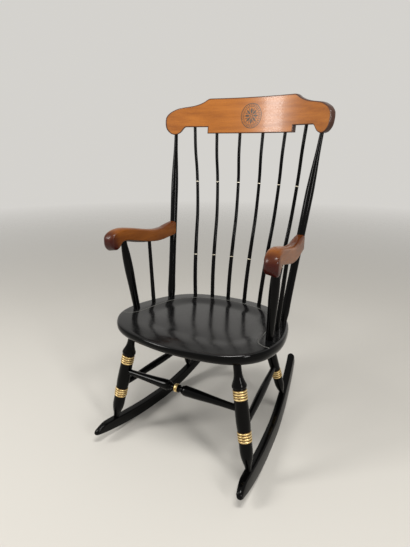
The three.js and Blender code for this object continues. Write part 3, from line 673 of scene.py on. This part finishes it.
def stained_wood(name, grain_scale, line_scale, tones, ior, coat):
    """Varnished wood whose grain runs along the axis with the smallest scales.

    The shade end darkens its stain, the shade edge paints shade on rounded edges and undersides, and matt
    takes the gloss away."""
    material, tree, shader = new_material(name)
    grain = noise(tree, grain_scale, detail=5.0)
    lines = noise(tree, line_scale, detail=3.0, roughness=0.6)
    cloud = noise(tree, (7, 7, 9), detail=2.0)
    colour = ramp(tree, grain, (0.30, 0.50, 0.72), tones)
    colour = mix_colour(tree, 0.7, colour, ramp(tree, lines, (0.32, 0.52), WOOD_STREAKS), "MULTIPLY")
    colour = mix_colour(tree, 1.0, colour, ramp(tree, cloud, (0.3, 0.7), WOOD_CLOUDS), "MULTIPLY")
    colour = mix_colour(tree, attribute(tree, "end"), colour, WOOD_END)
    # Painted shade on the crest's rounded edges and the arms' undersides
    colour = mix_colour(tree, attribute(tree, "edge"), colour, WOOD_PAINTED_SHADE)
    gloss = to_range(tree, lines, (0.3, 0.7), (0.34, 0.27))
    gloss = larger(tree, gloss, attribute(tree, "matt"))
    dress(tree, shader, colour, gloss, lines, strength=0.16, distance=0.0005)
    shader.inputs["IOR"].default_value = ior
    shader.inputs["Coat Weight"].default_value = coat
    shader.inputs["Coat Roughness"].default_value = 0.10
    return material


def plain_surface(name, scale, places, tones, roughness, metallic):
    """A surface whose colour, gloss and fine bumps follow one noise."""
    material, tree, shader = new_material(name)
    worn = noise(tree, scale, detail=4.0)
    gloss = to_range(tree, worn, (0.3, 0.7), roughness)
    dress(tree, shader, ramp(tree, worn, places, tones), gloss, worn, strength=0.10, distance=0.0002)
    shader.inputs["Metallic"].default_value = metallic
    return material


BLACK = black_lacquer("black_lacquer", 1.19, BLACK_TONES, (0.08, 0.16))
SEAT_BLACK = black_lacquer("seat_lacquer", 1.38, SEAT_TONES, (0.13, 0.26))
GROOVE_PAINTED_HIGHLIGHT = black_lacquer("groove_highlight_lacquer", 1.40, GROOVE_HIGHLIGHT_TONES, (0.22, 0.40))
GILT = gilt_paint("gilt_paint", ((0.34, 0.22, 0.07), (0.70, 0.52, 0.23), (0.82, 0.66, 0.36)))
PALE_GILT = gilt_paint("pale_gilt_paint", ((0.60, 0.52, 0.36), (0.86, 0.80, 0.64), (0.92, 0.88, 0.76)))
CREST_WOOD = stained_wood("crest_wood", (2.5, 20, 60), (3.5, 120, 340), CREST_TONES, ior=1.42, coat=0.15)
ARM_WOOD = stained_wood("arm_wood", (50, 5, 50), (220, 12, 220), ARM_TONES, ior=1.27, coat=0.10)
INK = plain_surface("medallion_ink", (160, 160, 160), (0.35, 0.75), INK_TONES, (0.28, 0.42), metallic=0.0)
STEEL = plain_surface("screw_steel", (300, 60, 300), (0.3, 0.7), STEEL_TONES, (0.25, 0.45), metallic=1.0)


# Seat

def seat_top_z(y):
    run = max(0.0, SEAT_ROLL_START - y) / (SEAT_ROLL_START - SEAT_FRONT)
    return SEAT_HEIGHT - SEAT_FALL_SHARE * y - SEAT_ROLL_DROP * run * run


def seat_bottom_z(y):
    return SEAT_HEIGHT - SEAT_THICKNESS - SEAT_FALL_SHARE * y


def on_seat(place):
    return vec(*place, seat_top_z(place[1]))


def seat_outline():
    depth = SEAT_BACK - SEAT_FRONT
    half = [np.array([x * SEAT_HALF_WIDTH, SEAT_FRONT + y * depth]) for x, y in SEAT_OUTLINE_SHARES]
    flip = np.array([-1, 1])
    curve = catmull([half[1] * flip, *half, half[-2] * flip], SEAT_OUTLINE_STEPS)
    return curve + [p * flip for p in reversed(curve[1:-1])]


def seat_ring(outline, inset, height_of):
    centre = np.array([0, (SEAT_FRONT + SEAT_BACK) / 2])
    ring = []
    for p in outline:
        reach = p - centre
        place = centre + reach * (1 - inset / np.linalg.norm(reach))
        ring.append(vec(*place, height_of(place[1])))
    return ring


def seat_dish(inset, y):
    back = smoothstep(y, SEAT_FRONT, SEAT_BACK)
    depth = SEAT_DISH_DEPTH * smoothstep(inset, SEAT_BORDER, SEAT_BORDER + SEAT_DISH_RUN)
    return depth * lerp(SEAT_DISH_FRONT_SHARE, 1, back)


def cut_groove(piece, surface):
    """Cuts a round-bottomed groove into the seat's top along SEAT_GROOVE and its mirror image."""
    half = [np.array(p, float) for p in SEAT_GROOVE]
    path = [p * np.array([-1, 1]) for p in reversed(half[1:])] + half
    centres = []
    for x, y in catmull(with_ends(path), SEAT_GROOVE_STEPS):
        hit, normal = surface.ray_cast(Vector((x, y, ABOVE_SEAT)), Vector((0, 0, -1)))[:2]
        normal *= math.copysign(SEAT_GROOVE_RADIUS - SEAT_GROOVE_DEPTH, normal.z)
        centres.append(np.array(hit + normal))
    points, faces = loft(tube_rings(centres, [SEAT_GROOVE_RADIUS] * len(centres), SEAT_GROOVE_SIDES))
    mesh = new_mesh("groove_cutter", points, faces, [GROOVE_PAINTED_HIGHLIGHT])
    edit_mesh(mesh, turn_out=True)
    cutter = new_object("groove_cutter", mesh)
    modifier = piece.modifiers.new("groove", "BOOLEAN")
    modifier.operation = "DIFFERENCE"
    modifier.solver = "EXACT"
    modifier.use_self = True
    # The groove's faces take the cutter's pale grey lacquer, a painted highlight
    modifier.material_mode = "TRANSFER"
    modifier.object = cutter
    result = bpy.data.meshes.new_from_object(piece.evaluated_get(bpy.context.evaluated_depsgraph_get()))
    piece.modifiers.clear()
    piece.data = result
    bpy.data.objects.remove(cutter)
    edit_mesh(result, sharp=SEAT_GROOVE_SHARP)


def make_seat():
    outline = seat_outline()
    places = [0.0]
    for a, b in zip(SEAT_EDGE, SEAT_EDGE[1:]):
        places.append(places[-1] + math.hypot(b[0] - a[0], b[2] - a[2]))
    steps = np.linspace(0, places[-1], SEAT_EDGE_STEPS)
    insets, shares = (smooth_curve([(s, e[k]) for s, e in zip(places, SEAT_EDGE)], steps) for k in (0, 1))
    rings = []
    for inset, share in zip(insets, shares):
        rings.append(seat_ring(outline, inset, lambda y, s=share: lerp(seat_bottom_z(y), seat_top_z(y), s)))
    for inset in SEAT_TOP_INSETS:
        rings.append(seat_ring(outline, inset, lambda y, i=inset: seat_top_z(y) - seat_dish(i, y)))
    points, faces = loft(rings)
    # The rim and the underside take the darker, less glossy black lacquer as painted shade, and the top its
    # lighter copy
    size = len(outline)
    rim = size * sum(share < SEAT_SHADED_RIM_SHARE for share in shares)
    slots = [int(k < rim) for k in range(len(faces) - 2 * size)] + [1] * size + [0] * size
    piece = make_piece("seat_plank", points, faces, [SEAT_BLACK, BLACK, GROOVE_PAINTED_HIGHLIGHT], ["seat"],
                       slots, sharp=60)
    cut_groove(piece, BVHTree.FromPolygons([tuple(p) for p in points], faces))


# Rockers

def arc_rise(run, radius):
    return radius - math.sqrt(radius * radius - run * run)


def rocker_bottom_z(y):
    run = y - ROCKER_LOW
    if run < -ROCKER_FRONT_ARC:
        slope = ROCKER_FRONT_ARC / math.sqrt(ROCKER_FRONT_RADIUS**2 - ROCKER_FRONT_ARC**2)
        return arc_rise(ROCKER_FRONT_ARC, ROCKER_FRONT_RADIUS) - slope * (run + ROCKER_FRONT_ARC)
    if run < 0:
        return arc_rise(run, ROCKER_FRONT_RADIUS)
    worn = arc_rise(ROCKER_FLAT_REAR - ROCKER_LOW, ROCKER_REAR_RADIUS)
    return max(0.0, arc_rise(run, ROCKER_REAR_RADIUS) - worn)


def rocker_top_z(y):
    end = ROCKER_FRONT if y < ROCKER_LOW else ROCKER_REAR
    share = clamp((y - ROCKER_LOW) / (end - ROCKER_LOW))
    return rocker_bottom_z(y) + lerp(ROCKER_HEIGHT, ROCKER_TIP_HEIGHT, share**4)


def leg_axis(foot, top):
    return vec(*foot, rocker_top_z(foot[1])), vec(*top, seat_bottom_z(top[1]))


FRONT_LEG_AXIS = leg_axis(FRONT_FOOT, FRONT_LEG_TOP)
REAR_LEG_AXIS = leg_axis(REAR_FOOT, REAR_LEG_TOP)


def rocker_x(y, z):
    front, rear = FRONT_LEG_AXIS[0], REAR_LEG_AXIS[0]
    share = (y - front[1]) / (rear[1] - front[1])
    return lerp(front[0], rear[0], share) + ROCKER_LEAN_SHARE * (lerp(front[2], rear[2], share) - z)


def rounded(share):
    """A quarter circle's height at a share of its run."""
    return math.sqrt(1 - (1 - share) ** 2)


def rocker_ring(y, side):
    at_front = y < ROCKER_LOW
    run = y - ROCKER_FRONT if at_front else ROCKER_REAR - y
    length, end, level, tip, taper = ROCKER_NOSE if at_front else ROCKER_HEEL
    nose = clamp(run / length)
    full = lerp(end, 1, rounded(nose))
    low, high = rocker_bottom_z(y), rocker_top_z(y)
    base = lerp(low, high, level)
    low, high = lerp(base, low, full), lerp(base, high, full)
    corner = lerp(ROCKER_CORNER_SHARE, 1, rounded(clamp(run / ROCKER_CORNER)))
    half = ROCKER_THICKNESS / 2 * corner * lerp(tip, 1, 1 - (1 - clamp(run / taper)) ** 2)
    most = min((high - low) * EDGE_HEIGHT_SHARE, half * EDGE_WIDTH_SHARE)
    lower, upper = (min(most, radius * lerp(at_tip, 1.0, nose)) for radius, at_tip in ROCKER_EDGES)
    ring = section(half, low, high, (lower, lower), (upper, upper), ROCKER_EDGE_STEPS)
    return [vec(side * (rocker_x(y, z) + x), y, z) for x, z, _ in ring]


def make_rocker(hand, side):
    nose, heel = ROCKER_NOSE[0], ROCKER_HEEL[0]
    places = set(np.linspace(ROCKER_FRONT + nose, ROCKER_REAR - heel, ROCKER_STEPS).round(2))
    places |= {ROCKER_LOW, ROCKER_FLAT_REAR}
    for k in range(ROCKER_TIP_STEPS + 1):
        bend = 1 - math.cos(math.pi / 2 * k / ROCKER_TIP_STEPS)
        places |= {round(ROCKER_FRONT + nose * bend, 2), round(ROCKER_REAR - heel * bend, 2)}
    points, faces = loft([rocker_ring(y, side) for y in sorted(places)])
    make_piece(f"rocker_{hand}_board", points, faces, [BLACK], [f"rocker_{hand}"], sharp=50)


# Legs and stretchers

def make_leg(node, side, foot, top, shares, radius, band_shares):
    foot, top = on_side(side, foot, top)
    length = np.linalg.norm(top - foot)
    ring = radius * RING_RADIUS_SHARE
    bands = [(low * length, high * length) for low, high in band_shares]
    beads = []
    for low, high in band_shares:
        pitch = (high - low) * length / RINGS_PER_BAND
        for k in range(RINGS_PER_BAND):
            start = low * length + k * pitch
            beads.append((start + RING_GAP_SHARE * pitch, start + (1 - RING_GAP_SHARE) * pitch,
                          ring - RING_RISE, RING_RISE))
    knots = [(s * length, r * radius) for s, r in shares]
    profile = spread(knots, LEG_STEP, [s for band in bands for s in band])
    profile = [p for p in profile if not any(low < p[0] < high for low, high in bands)]
    for low, high in bands:
        profile += [(low + NUDGE, ring - BAND_DEPTH), (high - NUDGE, ring - BAND_DEPTH)]
    profile = with_beads(profile, beads)
    for (_, end, _, _), (start, _, _, _) in zip(beads, beads[1:]):
        if start - end < RING_GAP_LIMIT:
            profile.append(((end + start) / 2, ring - RING_GAP_DEPTH))
    turned(node, foot, top, sorted(profile), gilt=bands, crown=(ring, RING_RISE))


def make_plain_stretcher(node, start, end):
    length = np.linalg.norm(end - start)
    profile = []
    for share in np.linspace(PLAIN_END_SHARE, 1 - PLAIN_END_SHARE, PLAIN_STEPS):
        swell = math.sin(math.pi * share) ** 2
        profile.append((share * length, lerp(PLAIN_END_RADIUS, PLAIN_RADIUS, swell)))
    turned(node, start, end, profile, sides=36)


def half_front_stretcher(total):
    """The profile from a leg's axis to the middle bead, whose centre lies total away."""
    part = spread(TAPER + [(total - d, r) for d, r in SWELL], FRONT_STRETCHER_STEP)
    start, run, base, rise = SIDE_BEAD
    part = with_beads(part, [(total - start, total - start + run, base, rise)])
    part.append((total - NECK[0], NECK[1]))
    part += bulge(total - COVE[0], *COVE[1:], COVE_STEPS, power=1)
    return part + [(total - d, r) for d, r in FILLET]


def make_front_stretcher():
    end = at_height(*FRONT_LEG_AXIS, FRONT_STRETCHER_Z)
    a, b = end, *on_side(-1, end)
    length = np.linalg.norm(b - a)
    centre = length / 2 + MIDDLE_BEAD_SHIFT
    profile = half_front_stretcher(centre)
    profile += [(length - d, r) for d, r in half_front_stretcher(length - centre)]
    start, run, base, rise = MIDDLE_BEAD
    profile += bulge(centre - start, run, base, rise, MIDDLE_BEAD_STEPS)
    gilt = [(centre - MIDDLE_BEAD_GILT_HALF, centre + MIDDLE_BEAD_GILT_HALF)]
    turned("front_stretcher", a, b, sorted(profile), gilt=gilt, crown=(base + rise, rise))


# Crest rail

def crest_point(x, depth, z):
    """A point at x on the bent face, a depth behind it, at height z."""
    angle = math.asin(clamp(x / CREST_RADIUS, -1, 1))
    reach = CREST_RADIUS + depth
    lean = CREST_LEAN_SHARE * (z - CREST_BOTTOM - CREST_HEIGHT / 2)
    return vec(reach * math.sin(angle), CREST_FACE_Y - CREST_RADIUS + reach * math.cos(angle) + lean, z)


def crest_low(share, past):
    """The lower edge's height at a share of the half width, before or past the shoulder's step."""
    if share < CREST_LOBE_SHARES[0][0]:
        return CREST_BOTTOM + (CREST_SHOULDER if past else 0)
    return CREST_BOTTOM + CREST_HEIGHT * curve_at(CREST_LOBE_SHARES, share)


def under_crest(x):
    share = x / CREST_HALF_WIDTH
    low = crest_low(share, share > CREST_STEP_X / CREST_HALF_WIDTH)
    face_x = x * CREST_RADIUS / (CREST_RADIUS + CREST_THICKNESS / 2)
    return crest_point(face_x, CREST_THICKNESS / 2, low)


def crest_outline():
    """The right half's (x, top, bottom) columns, from the middle outwards."""
    step = CREST_STEP_X / CREST_HALF_WIDTH
    lobe = CREST_LOBE_SHARES[0][0]
    columns = [(s, False) for s in np.linspace(0, step - CREST_CORNER_SHARE, CREST_MIDDLE_STEPS)]
    columns.append((step + CREST_CORNER_SHARE, True))
    columns += [(s, True) for s in np.linspace(step + CREST_SHOULDER_START_SHARE, lobe, CREST_SHOULDER_STEPS)]
    for k in range(1, CREST_LOBE_STEPS + 1):
        columns.append((lobe + (1 - lobe) * math.sin(math.pi / 2 * k / CREST_LOBE_STEPS), True))
    out = []
    for share, past in columns:
        top = CREST_BOTTOM + CREST_HEIGHT * curve_at(CREST_TOP_SHARES, share)
        out.append((share * CREST_HALF_WIDTH, top, crest_low(share, past)))
    return out


def inset_polygon(polygon, inset):
    out = []
    for k, b in enumerate(polygon):
        a, c = polygon[k - 1], polygon[(k + 1) % len(polygon)]
        e1, e2 = unit(b - a), unit(c - b)
        n1, n2 = np.array([-e1[1], e1[0]]), np.array([-e2[1], e2[0]])
        out.append(b + (n1 + n2) * (inset / max(MITRE_LIMIT, 1 + float(n1 @ n2))))
    return out


def make_crest():
    half = crest_outline()
    columns = [(-x, top, low) for x, top, low in reversed(half[1:])] + half
    polygon = [np.array([x, low]) for x, _, low in columns]
    polygon += [np.array([x, top]) for x, top, _ in reversed(columns)]
    size = len(polygon)
    layers = CREST_EDGE + [(CREST_THICKNESS - depth, *rest) for depth, *rest in reversed(CREST_EDGE)]
    points = []
    edge = []
    end = []
    for depth, inset, rim_shade, end_shade in layers:
        for x, z in inset_polygon(polygon, inset):
            place = crest_point(x, depth, z)
            points.append(place)
            # The shade edge paints shade along the rounded edges
            edge.append(rim_shade)
            end.append(end_shade * smoothstep(abs(place[0]), *CREST_END_X))
    last = len(layers) - 1
    faces = []
    for row in range(last):
        faces += belt(row * size, (row + 1) * size, size)
    for a in (0, last * size):
        b = a + size - 1
        faces += [(a + k, a + k + 1, b - k - 1, b - k) for k in range(len(columns) - 1)]
    make_piece("crest_board", points, faces, [CREST_WOOD], ["crest_rail"],
               shades={"edge": edge, "end": end}, sharp=34)


# A rosette in a beaded oval, inked on the crest rail

def ribbon(low_side, high_side, closed):
    """Points and faces of a thin solid ribbon on the crest's face, between two runs of (x, z) points."""
    count = len(low_side)
    points = []
    for depth in (-ROSETTE_GAP - ROSETTE_INK, -ROSETTE_GAP):
        for run in (low_side, high_side):
            points += [crest_point(ROSETTE_CENTRE[0] + x, depth, ROSETTE_CENTRE[1] + z) for x, z in run]
    faces = []
    for k in range(count if closed else count - 1):
        n = (k + 1) % count
        faces += [(k, n, count + n, count + k), (2 * count + k, 3 * count + k, 3 * count + n, 2 * count + n)]
        faces += [(k, 2 * count + k, 2 * count + n, n), (count + k, count + n, 3 * count + n, 3 * count + k)]
    if not closed:
        for k in (0, count - 1):
            quad = (k, count + k, 3 * count + k, 2 * count + k)
            faces.append(quad if k == 0 else quad[::-1])
    return points, faces


def oval(share):
    turns = 2 * math.pi * np.arange(ROSETTE_SIDES) / ROSETTE_SIDES
    return [(share * ROSETTE_HALF[0] * math.cos(t), share * ROSETTE_HALF[1] * math.sin(t)) for t in turns]


def leaf(turn, start, end, width):
    """A pointed leaf that runs outwards at a turn, from and to shares of the oval."""
    along = np.array([ROSETTE_HALF[0] * math.cos(turn), ROSETTE_HALF[1] * math.sin(turn)])
    across = unit(np.array([-along[1], along[0]]))
    t = np.linspace(0, 1, LEAF_STEPS)[:, np.newaxis]
    swell = np.sin(math.pi * t ** LEAF_POWERS[0]) ** LEAF_POWERS[1]
    middle, half = along * lerp(start, end, t), np.maximum(LEAF_TIP_HALF, width * swell)
    return ribbon(middle - across * half, middle + across * half, False)


def make_medallion():
    parts = [ribbon(oval(low), oval(high), True) for low, high in ROSETTE_RING_SHARES]
    parts += [leaf(2 * math.pi * (k + 0.5) / BEADS, *BEAD_LEAF) for k in range(BEADS)]
    for k in range(PETALS):
        turn = 2 * math.pi * k / PETALS
        parts += [leaf(turn, *PETAL_LEAF), leaf(turn + math.pi / PETALS, *SMALL_LEAF)]
    points = []
    faces = []
    for part_points, part_faces in parts:
        start = len(points)
        points += part_points
        faces += [tuple(start + k for k in face) for face in part_faces]
    make_piece("crest_medallion", points, faces, [INK], [], sharp=30)


# Posts and spindles

POST_AXIS = (on_seat(POST_FOOT), under_crest(POST_TOP_X))


def make_spindle(hand, side, number):
    foot, top = on_side(side, on_seat(SPINDLE_FEET[number]), under_crest(SPINDLE_TOP_X[number]))
    knots = [lerp(foot, top, share) + vec(0, bend * SPINDLE_BEND, 0) for share, bend in SPINDLE_BEND_SHARES]
    path = catmull(with_ends(knots), SPINDLE_STEPS)
    path = np.array([2 * path[0] - path[1], *path, path[-1] + 2 * (path[-1] - path[-2])])
    places = set(path[:, 2])
    for ring_z in SPINDLE_RINGS_Z:
        for reach in (SPINDLE_RING_HALF, SPINDLE_RING_HALF + SPINDLE_RING_MARGIN):
            places |= {ring_z - reach, ring_z + reach}
    places = sorted(places)
    centres = np.column_stack([np.interp(places, path[:, 2], path[:, k]) for k in range(3)])
    radii = []
    for z in places:
        taper = smoothstep((z - foot[2]) / (top[2] - foot[2]), *SPINDLE_TAPER_SHARES)
        radii.append(lerp(SPINDLE_FOOT_RADIUS, SPINDLE_TOP_RADIUS, taper))
    points, faces = loft(tube_rings(centres, radii, SPINDLE_SIDES))
    gilt = [(z - SPINDLE_RING_HALF, z + SPINDLE_RING_HALF) for z in SPINDLE_RINGS_Z]
    slots = gilt_slots(places, gilt, SPINDLE_SIDES)
    node = f"back_spindle_{hand}_{number + 1}"
    make_piece(f"{node}_stick", points, faces, [BLACK, PALE_GILT], [node], slots)


# Arms

def bow(share, values):
    front, middle, rear = values
    return lerp(lerp(front, middle, share), lerp(middle, rear, share), share)


def arm_heights(share):
    """The heights of the top and of the underside."""
    top = curve_at([(s, high) for s, high, _ in ARM_SHARES], share)
    low = curve_at([(s, low) for s, _, low in ARM_SHARES], share)
    return ARM_LOW + top * ARM_RISE, ARM_LOW + low * ARM_RISE


ARM_REAR = at_height(*POST_AXIS, ARM_LOW + ARM_REAR_SHARE * ARM_RISE)[1] - ARM_REAR_GAP


def arm_section(share, y, top, low):
    """The section's (x, z) points, each with how far it belongs to the underside, which is matt and takes
    painted shade.
    """
    half = bow(share, ARM_WIDTHS) / 2
    if y - ARM_FRONT < ARM_FRONT_ROUND:
        short = ARM_FRONT_ROUND - (y - ARM_FRONT)
        half -= ARM_FRONT_ROUND - math.sqrt(max(0.0, ARM_FRONT_ROUND**2 - short**2))
    tilt = min(curve_at(ARM_TILTS, share), (top - low) / ARM_TILT_PARTS)
    crown = min(ARM_CROWN, (top - low) / ARM_CROWN_PARTS)
    lower = lerp(*ARM_LOWER_EDGES, smoothstep(share, *ARM_LOWER_EDGE_SHARES))
    lower = min(lower, (top - low) / ARM_LOWER_PARTS, half * EDGE_WIDTH_SHARE)
    upper = (half * ARM_CROWN_WIDTH_SHARE, crown)
    out = []
    for x, z, turn in section(half, low, top, (lower, lower), upper, ARM_EDGE_STEPS, tilt):
        under = smoothstep(-math.sin(turn), *UNDERSIDE_SLOPES) * smoothstep(share, *UNDERSIDE_SHARES)
        out.append((bow(share, ARM_CENTRES) + x, z, under))
    return out


def arm_stain(share, y, z, top, low):
    front = smoothstep(-y, *STAIN_FRONT)
    below = (1 - smoothstep(z, *STAIN_LOW_Z)) * smoothstep(-y, *STAIN_LOW_FRONT)
    upper = smoothstep((z - low) / (top - low), *STAIN_UPPER_SHARES) * smoothstep(share, *STAIN_REAR_SHARES)
    return clamp(sum(weight * part for weight, part in zip(STAIN_WEIGHTS, (front, below, upper))))


def make_arm(hand, side):
    shares = []
    for k in range(ARM_SCROLL_STEPS + 1):
        shares.append(ARM_SCROLL_SHARE * (1 - math.cos(math.pi / 2 * k / ARM_SCROLL_STEPS)))
    shares += list(np.linspace(ARM_RUN_SHARE, 1, ARM_RUN_STEPS))
    rings = []
    end = []
    matt = []
    for share in shares:
        y = lerp(ARM_FRONT, ARM_REAR, share)
        top, low = arm_heights(share)
        ring = arm_section(share, y, top, low)
        rings.append([vec(side * x, y, z) for x, z, _ in ring])
        end += [arm_stain(share, y, z, top, low) for _, z, _ in ring]
        matt += [under for _, _, under in ring]
    points, faces = loft(rings)
    # The last two values of each shade are for the middles of the front and rear ends
    shades = {
        "end": end + [0.9, 0.2],
        # The shade edge paints shade on the underside, and on the rear end's middle
        "edge": [UNDERSIDE_PAINTED_SHADE * under for under in matt] + [0.0, 0.5],
        "matt": matt + [0.0, 0.0],
    }
    make_piece(f"arm_{hand}_sawn", points, faces, [ARM_WOOD], [f"arm_{hand}"],
               shades=shades, sharp=60)


def under_arm(place):
    return vec(*place, arm_heights((place[1] - ARM_FRONT) / (ARM_REAR - ARM_FRONT))[1])


def make_arm_posts(hand, side):
    axis = on_side(side, on_seat(SUPPORT_FOOT), under_arm(SUPPORT_TOP))
    turned_by_shares(f"arm_support_{hand}", axis, SUPPORT_SHARES, SUPPORT_RADIUS, step=5.0, sides=40)
    axis = on_side(side, on_seat(ARM_SPINDLE_FOOT), under_arm(ARM_SPINDLE_TOP))
    turned_by_shares(f"arm_spindle_{hand}", axis, ARM_SPINDLE_SHARES, ARM_SPINDLE_RADIUS, step=10.0, sides=28,
                     kind="stick")


# Floor, light and camera

def make_floor():
    mesh = bpy.data.meshes.new("floor")
    corners = [(x * FLOOR_REACH, y * FLOOR_REACH, 0) for x, y in ((-1, -1), (1, -1), (1, 1), (-1, 1))]
    mesh.from_pydata(corners, [], [(0, 1, 2, 3)])
    floor = new_object("floor", mesh)
    material, tree, shader = new_material("floor")
    shader.inputs["Base Color"].default_value = (*FLOOR_COLOUR, 1)
    shader.inputs["Roughness"].default_value = 0.9
    # Far from the chair the floor gives way to the backdrop
    place = tree.nodes.new("ShaderNodeNewGeometry")
    length = tree.nodes.new("ShaderNodeVectorMath")
    length.operation = "LENGTH"
    tree.links.new(place.outputs["Position"], length.inputs[0])
    fade = to_range(tree, length.outputs["Value"], FLOOR_FADE, (0.0, 1.0))
    clear = tree.nodes.new("ShaderNodeBsdfTransparent")
    show_mixed(tree, fade, shader, clear, "Material Output")
    mesh.materials.append(material)


def make_world():
    """A plain light all round, which shows as the backdrop to the camera, to gloss and through glass."""
    world = bpy.data.worlds.new("studio")
    bpy.context.scene.world = world
    world.use_nodes = True
    tree = world.node_tree
    light = tree.nodes["Background"]
    light.inputs["Color"].default_value = (*LIGHT_COLOUR, 1)
    light.inputs["Strength"].default_value = 0.42
    seen = tree.nodes.new("ShaderNodeBackground")
    seen.inputs["Color"].default_value = (*BACKDROP_COLOUR, 1)
    rays = tree.nodes.new("ShaderNodeLightPath").outputs
    seen_by = larger(tree, rays["Is Camera Ray"], rays["Is Glossy Ray"])
    seen_by = larger(tree, seen_by, rays["Is Transmission Ray"])
    show_mixed(tree, seen_by, light, seen, "World Output")


def add_lamp(name, place, target, size, power):
    lamp = bpy.data.lights.new(name, "AREA")
    lamp.shape = "RECTANGLE"
    lamp.size, lamp.size_y = size
    lamp.energy = power
    lamp.color = LIGHT_COLOUR
    holder = new_object(name, lamp)
    holder.location = place
    holder.rotation_euler = (Vector(target) - Vector(place)).to_track_quat("-Z", "Y").to_euler()


def make_camera():
    yaw, pitch, roll = (math.radians(angle) for angle in (CAMERA_YAW, CAMERA_PITCH, CAMERA_ROLL))
    forward = Vector((-math.sin(yaw) * math.cos(pitch), math.cos(yaw) * math.cos(pitch), -math.sin(pitch)))
    right = Vector((math.cos(yaw), math.sin(yaw), 0))
    up = right.cross(forward)
    rolled_right = right * math.cos(roll) + up * math.sin(roll)
    rolled_up = up * math.cos(roll) - right * math.sin(roll)
    data = bpy.data.cameras.new("camera")
    data.lens = 27.06
    data.sensor_width = 36
    data.sensor_fit = "AUTO"
    camera = new_object("camera", data)
    matrix = Matrix((rolled_right, rolled_up, -forward)).transposed().to_4x4()
    x, y, z = CAMERA_PLACE
    matrix.translation = Vector((x, y + CENTRE_Y * MM, z))
    camera.matrix_world = matrix
    bpy.context.scene.camera = camera


# The chair

make_seat()
make_front_stretcher()
make_crest()
make_medallion()
rear_end = at_height(*REAR_LEG_AXIS, REAR_STRETCHER_Z)
make_plain_stretcher("rear_stretcher", rear_end, *on_side(-1, rear_end))
for hand, side in (("left", 1), ("right", -1)):
    make_rocker(hand, side)
    make_leg(f"front_leg_{hand}", side, *FRONT_LEG_AXIS, FRONT_LEG_SHARES, FRONT_LEG_RADIUS, FRONT_BANDS)
    make_leg(f"rear_leg_{hand}", side, *REAR_LEG_AXIS, REAR_LEG_SHARES, REAR_LEG_RADIUS, REAR_BANDS)
    front_end = at_height(*FRONT_LEG_AXIS, SIDE_STRETCHER_FRONT_Z)
    rear_end = at_height(*REAR_LEG_AXIS, SIDE_STRETCHER_REAR_Z)
    make_plain_stretcher(f"side_stretcher_{hand}", *on_side(side, front_end, rear_end))
    post_axis = on_side(side, *POST_AXIS)
    turned_by_shares(f"back_post_{hand}", post_axis, POST_SHARES, POST_RADIUS, step=8.0, sides=40)
    make_arm(hand, side)
    make_arm_posts(hand, side)
    for number in range(len(SPINDLE_FEET)):
        make_spindle(hand, side, number)
    for name, material in ((f"screw_plug_{hand}", BLACK), (f"arm_screw_{hand}", STEEL)):
        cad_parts[name].data.materials.clear()
        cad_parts[name].data.materials.append(material)

make_floor()
make_world()
for lamp in LAMPS:
    add_lamp(*lamp)
make_camera()
bpy.context.scene.view_settings.view_transform = "Standard"
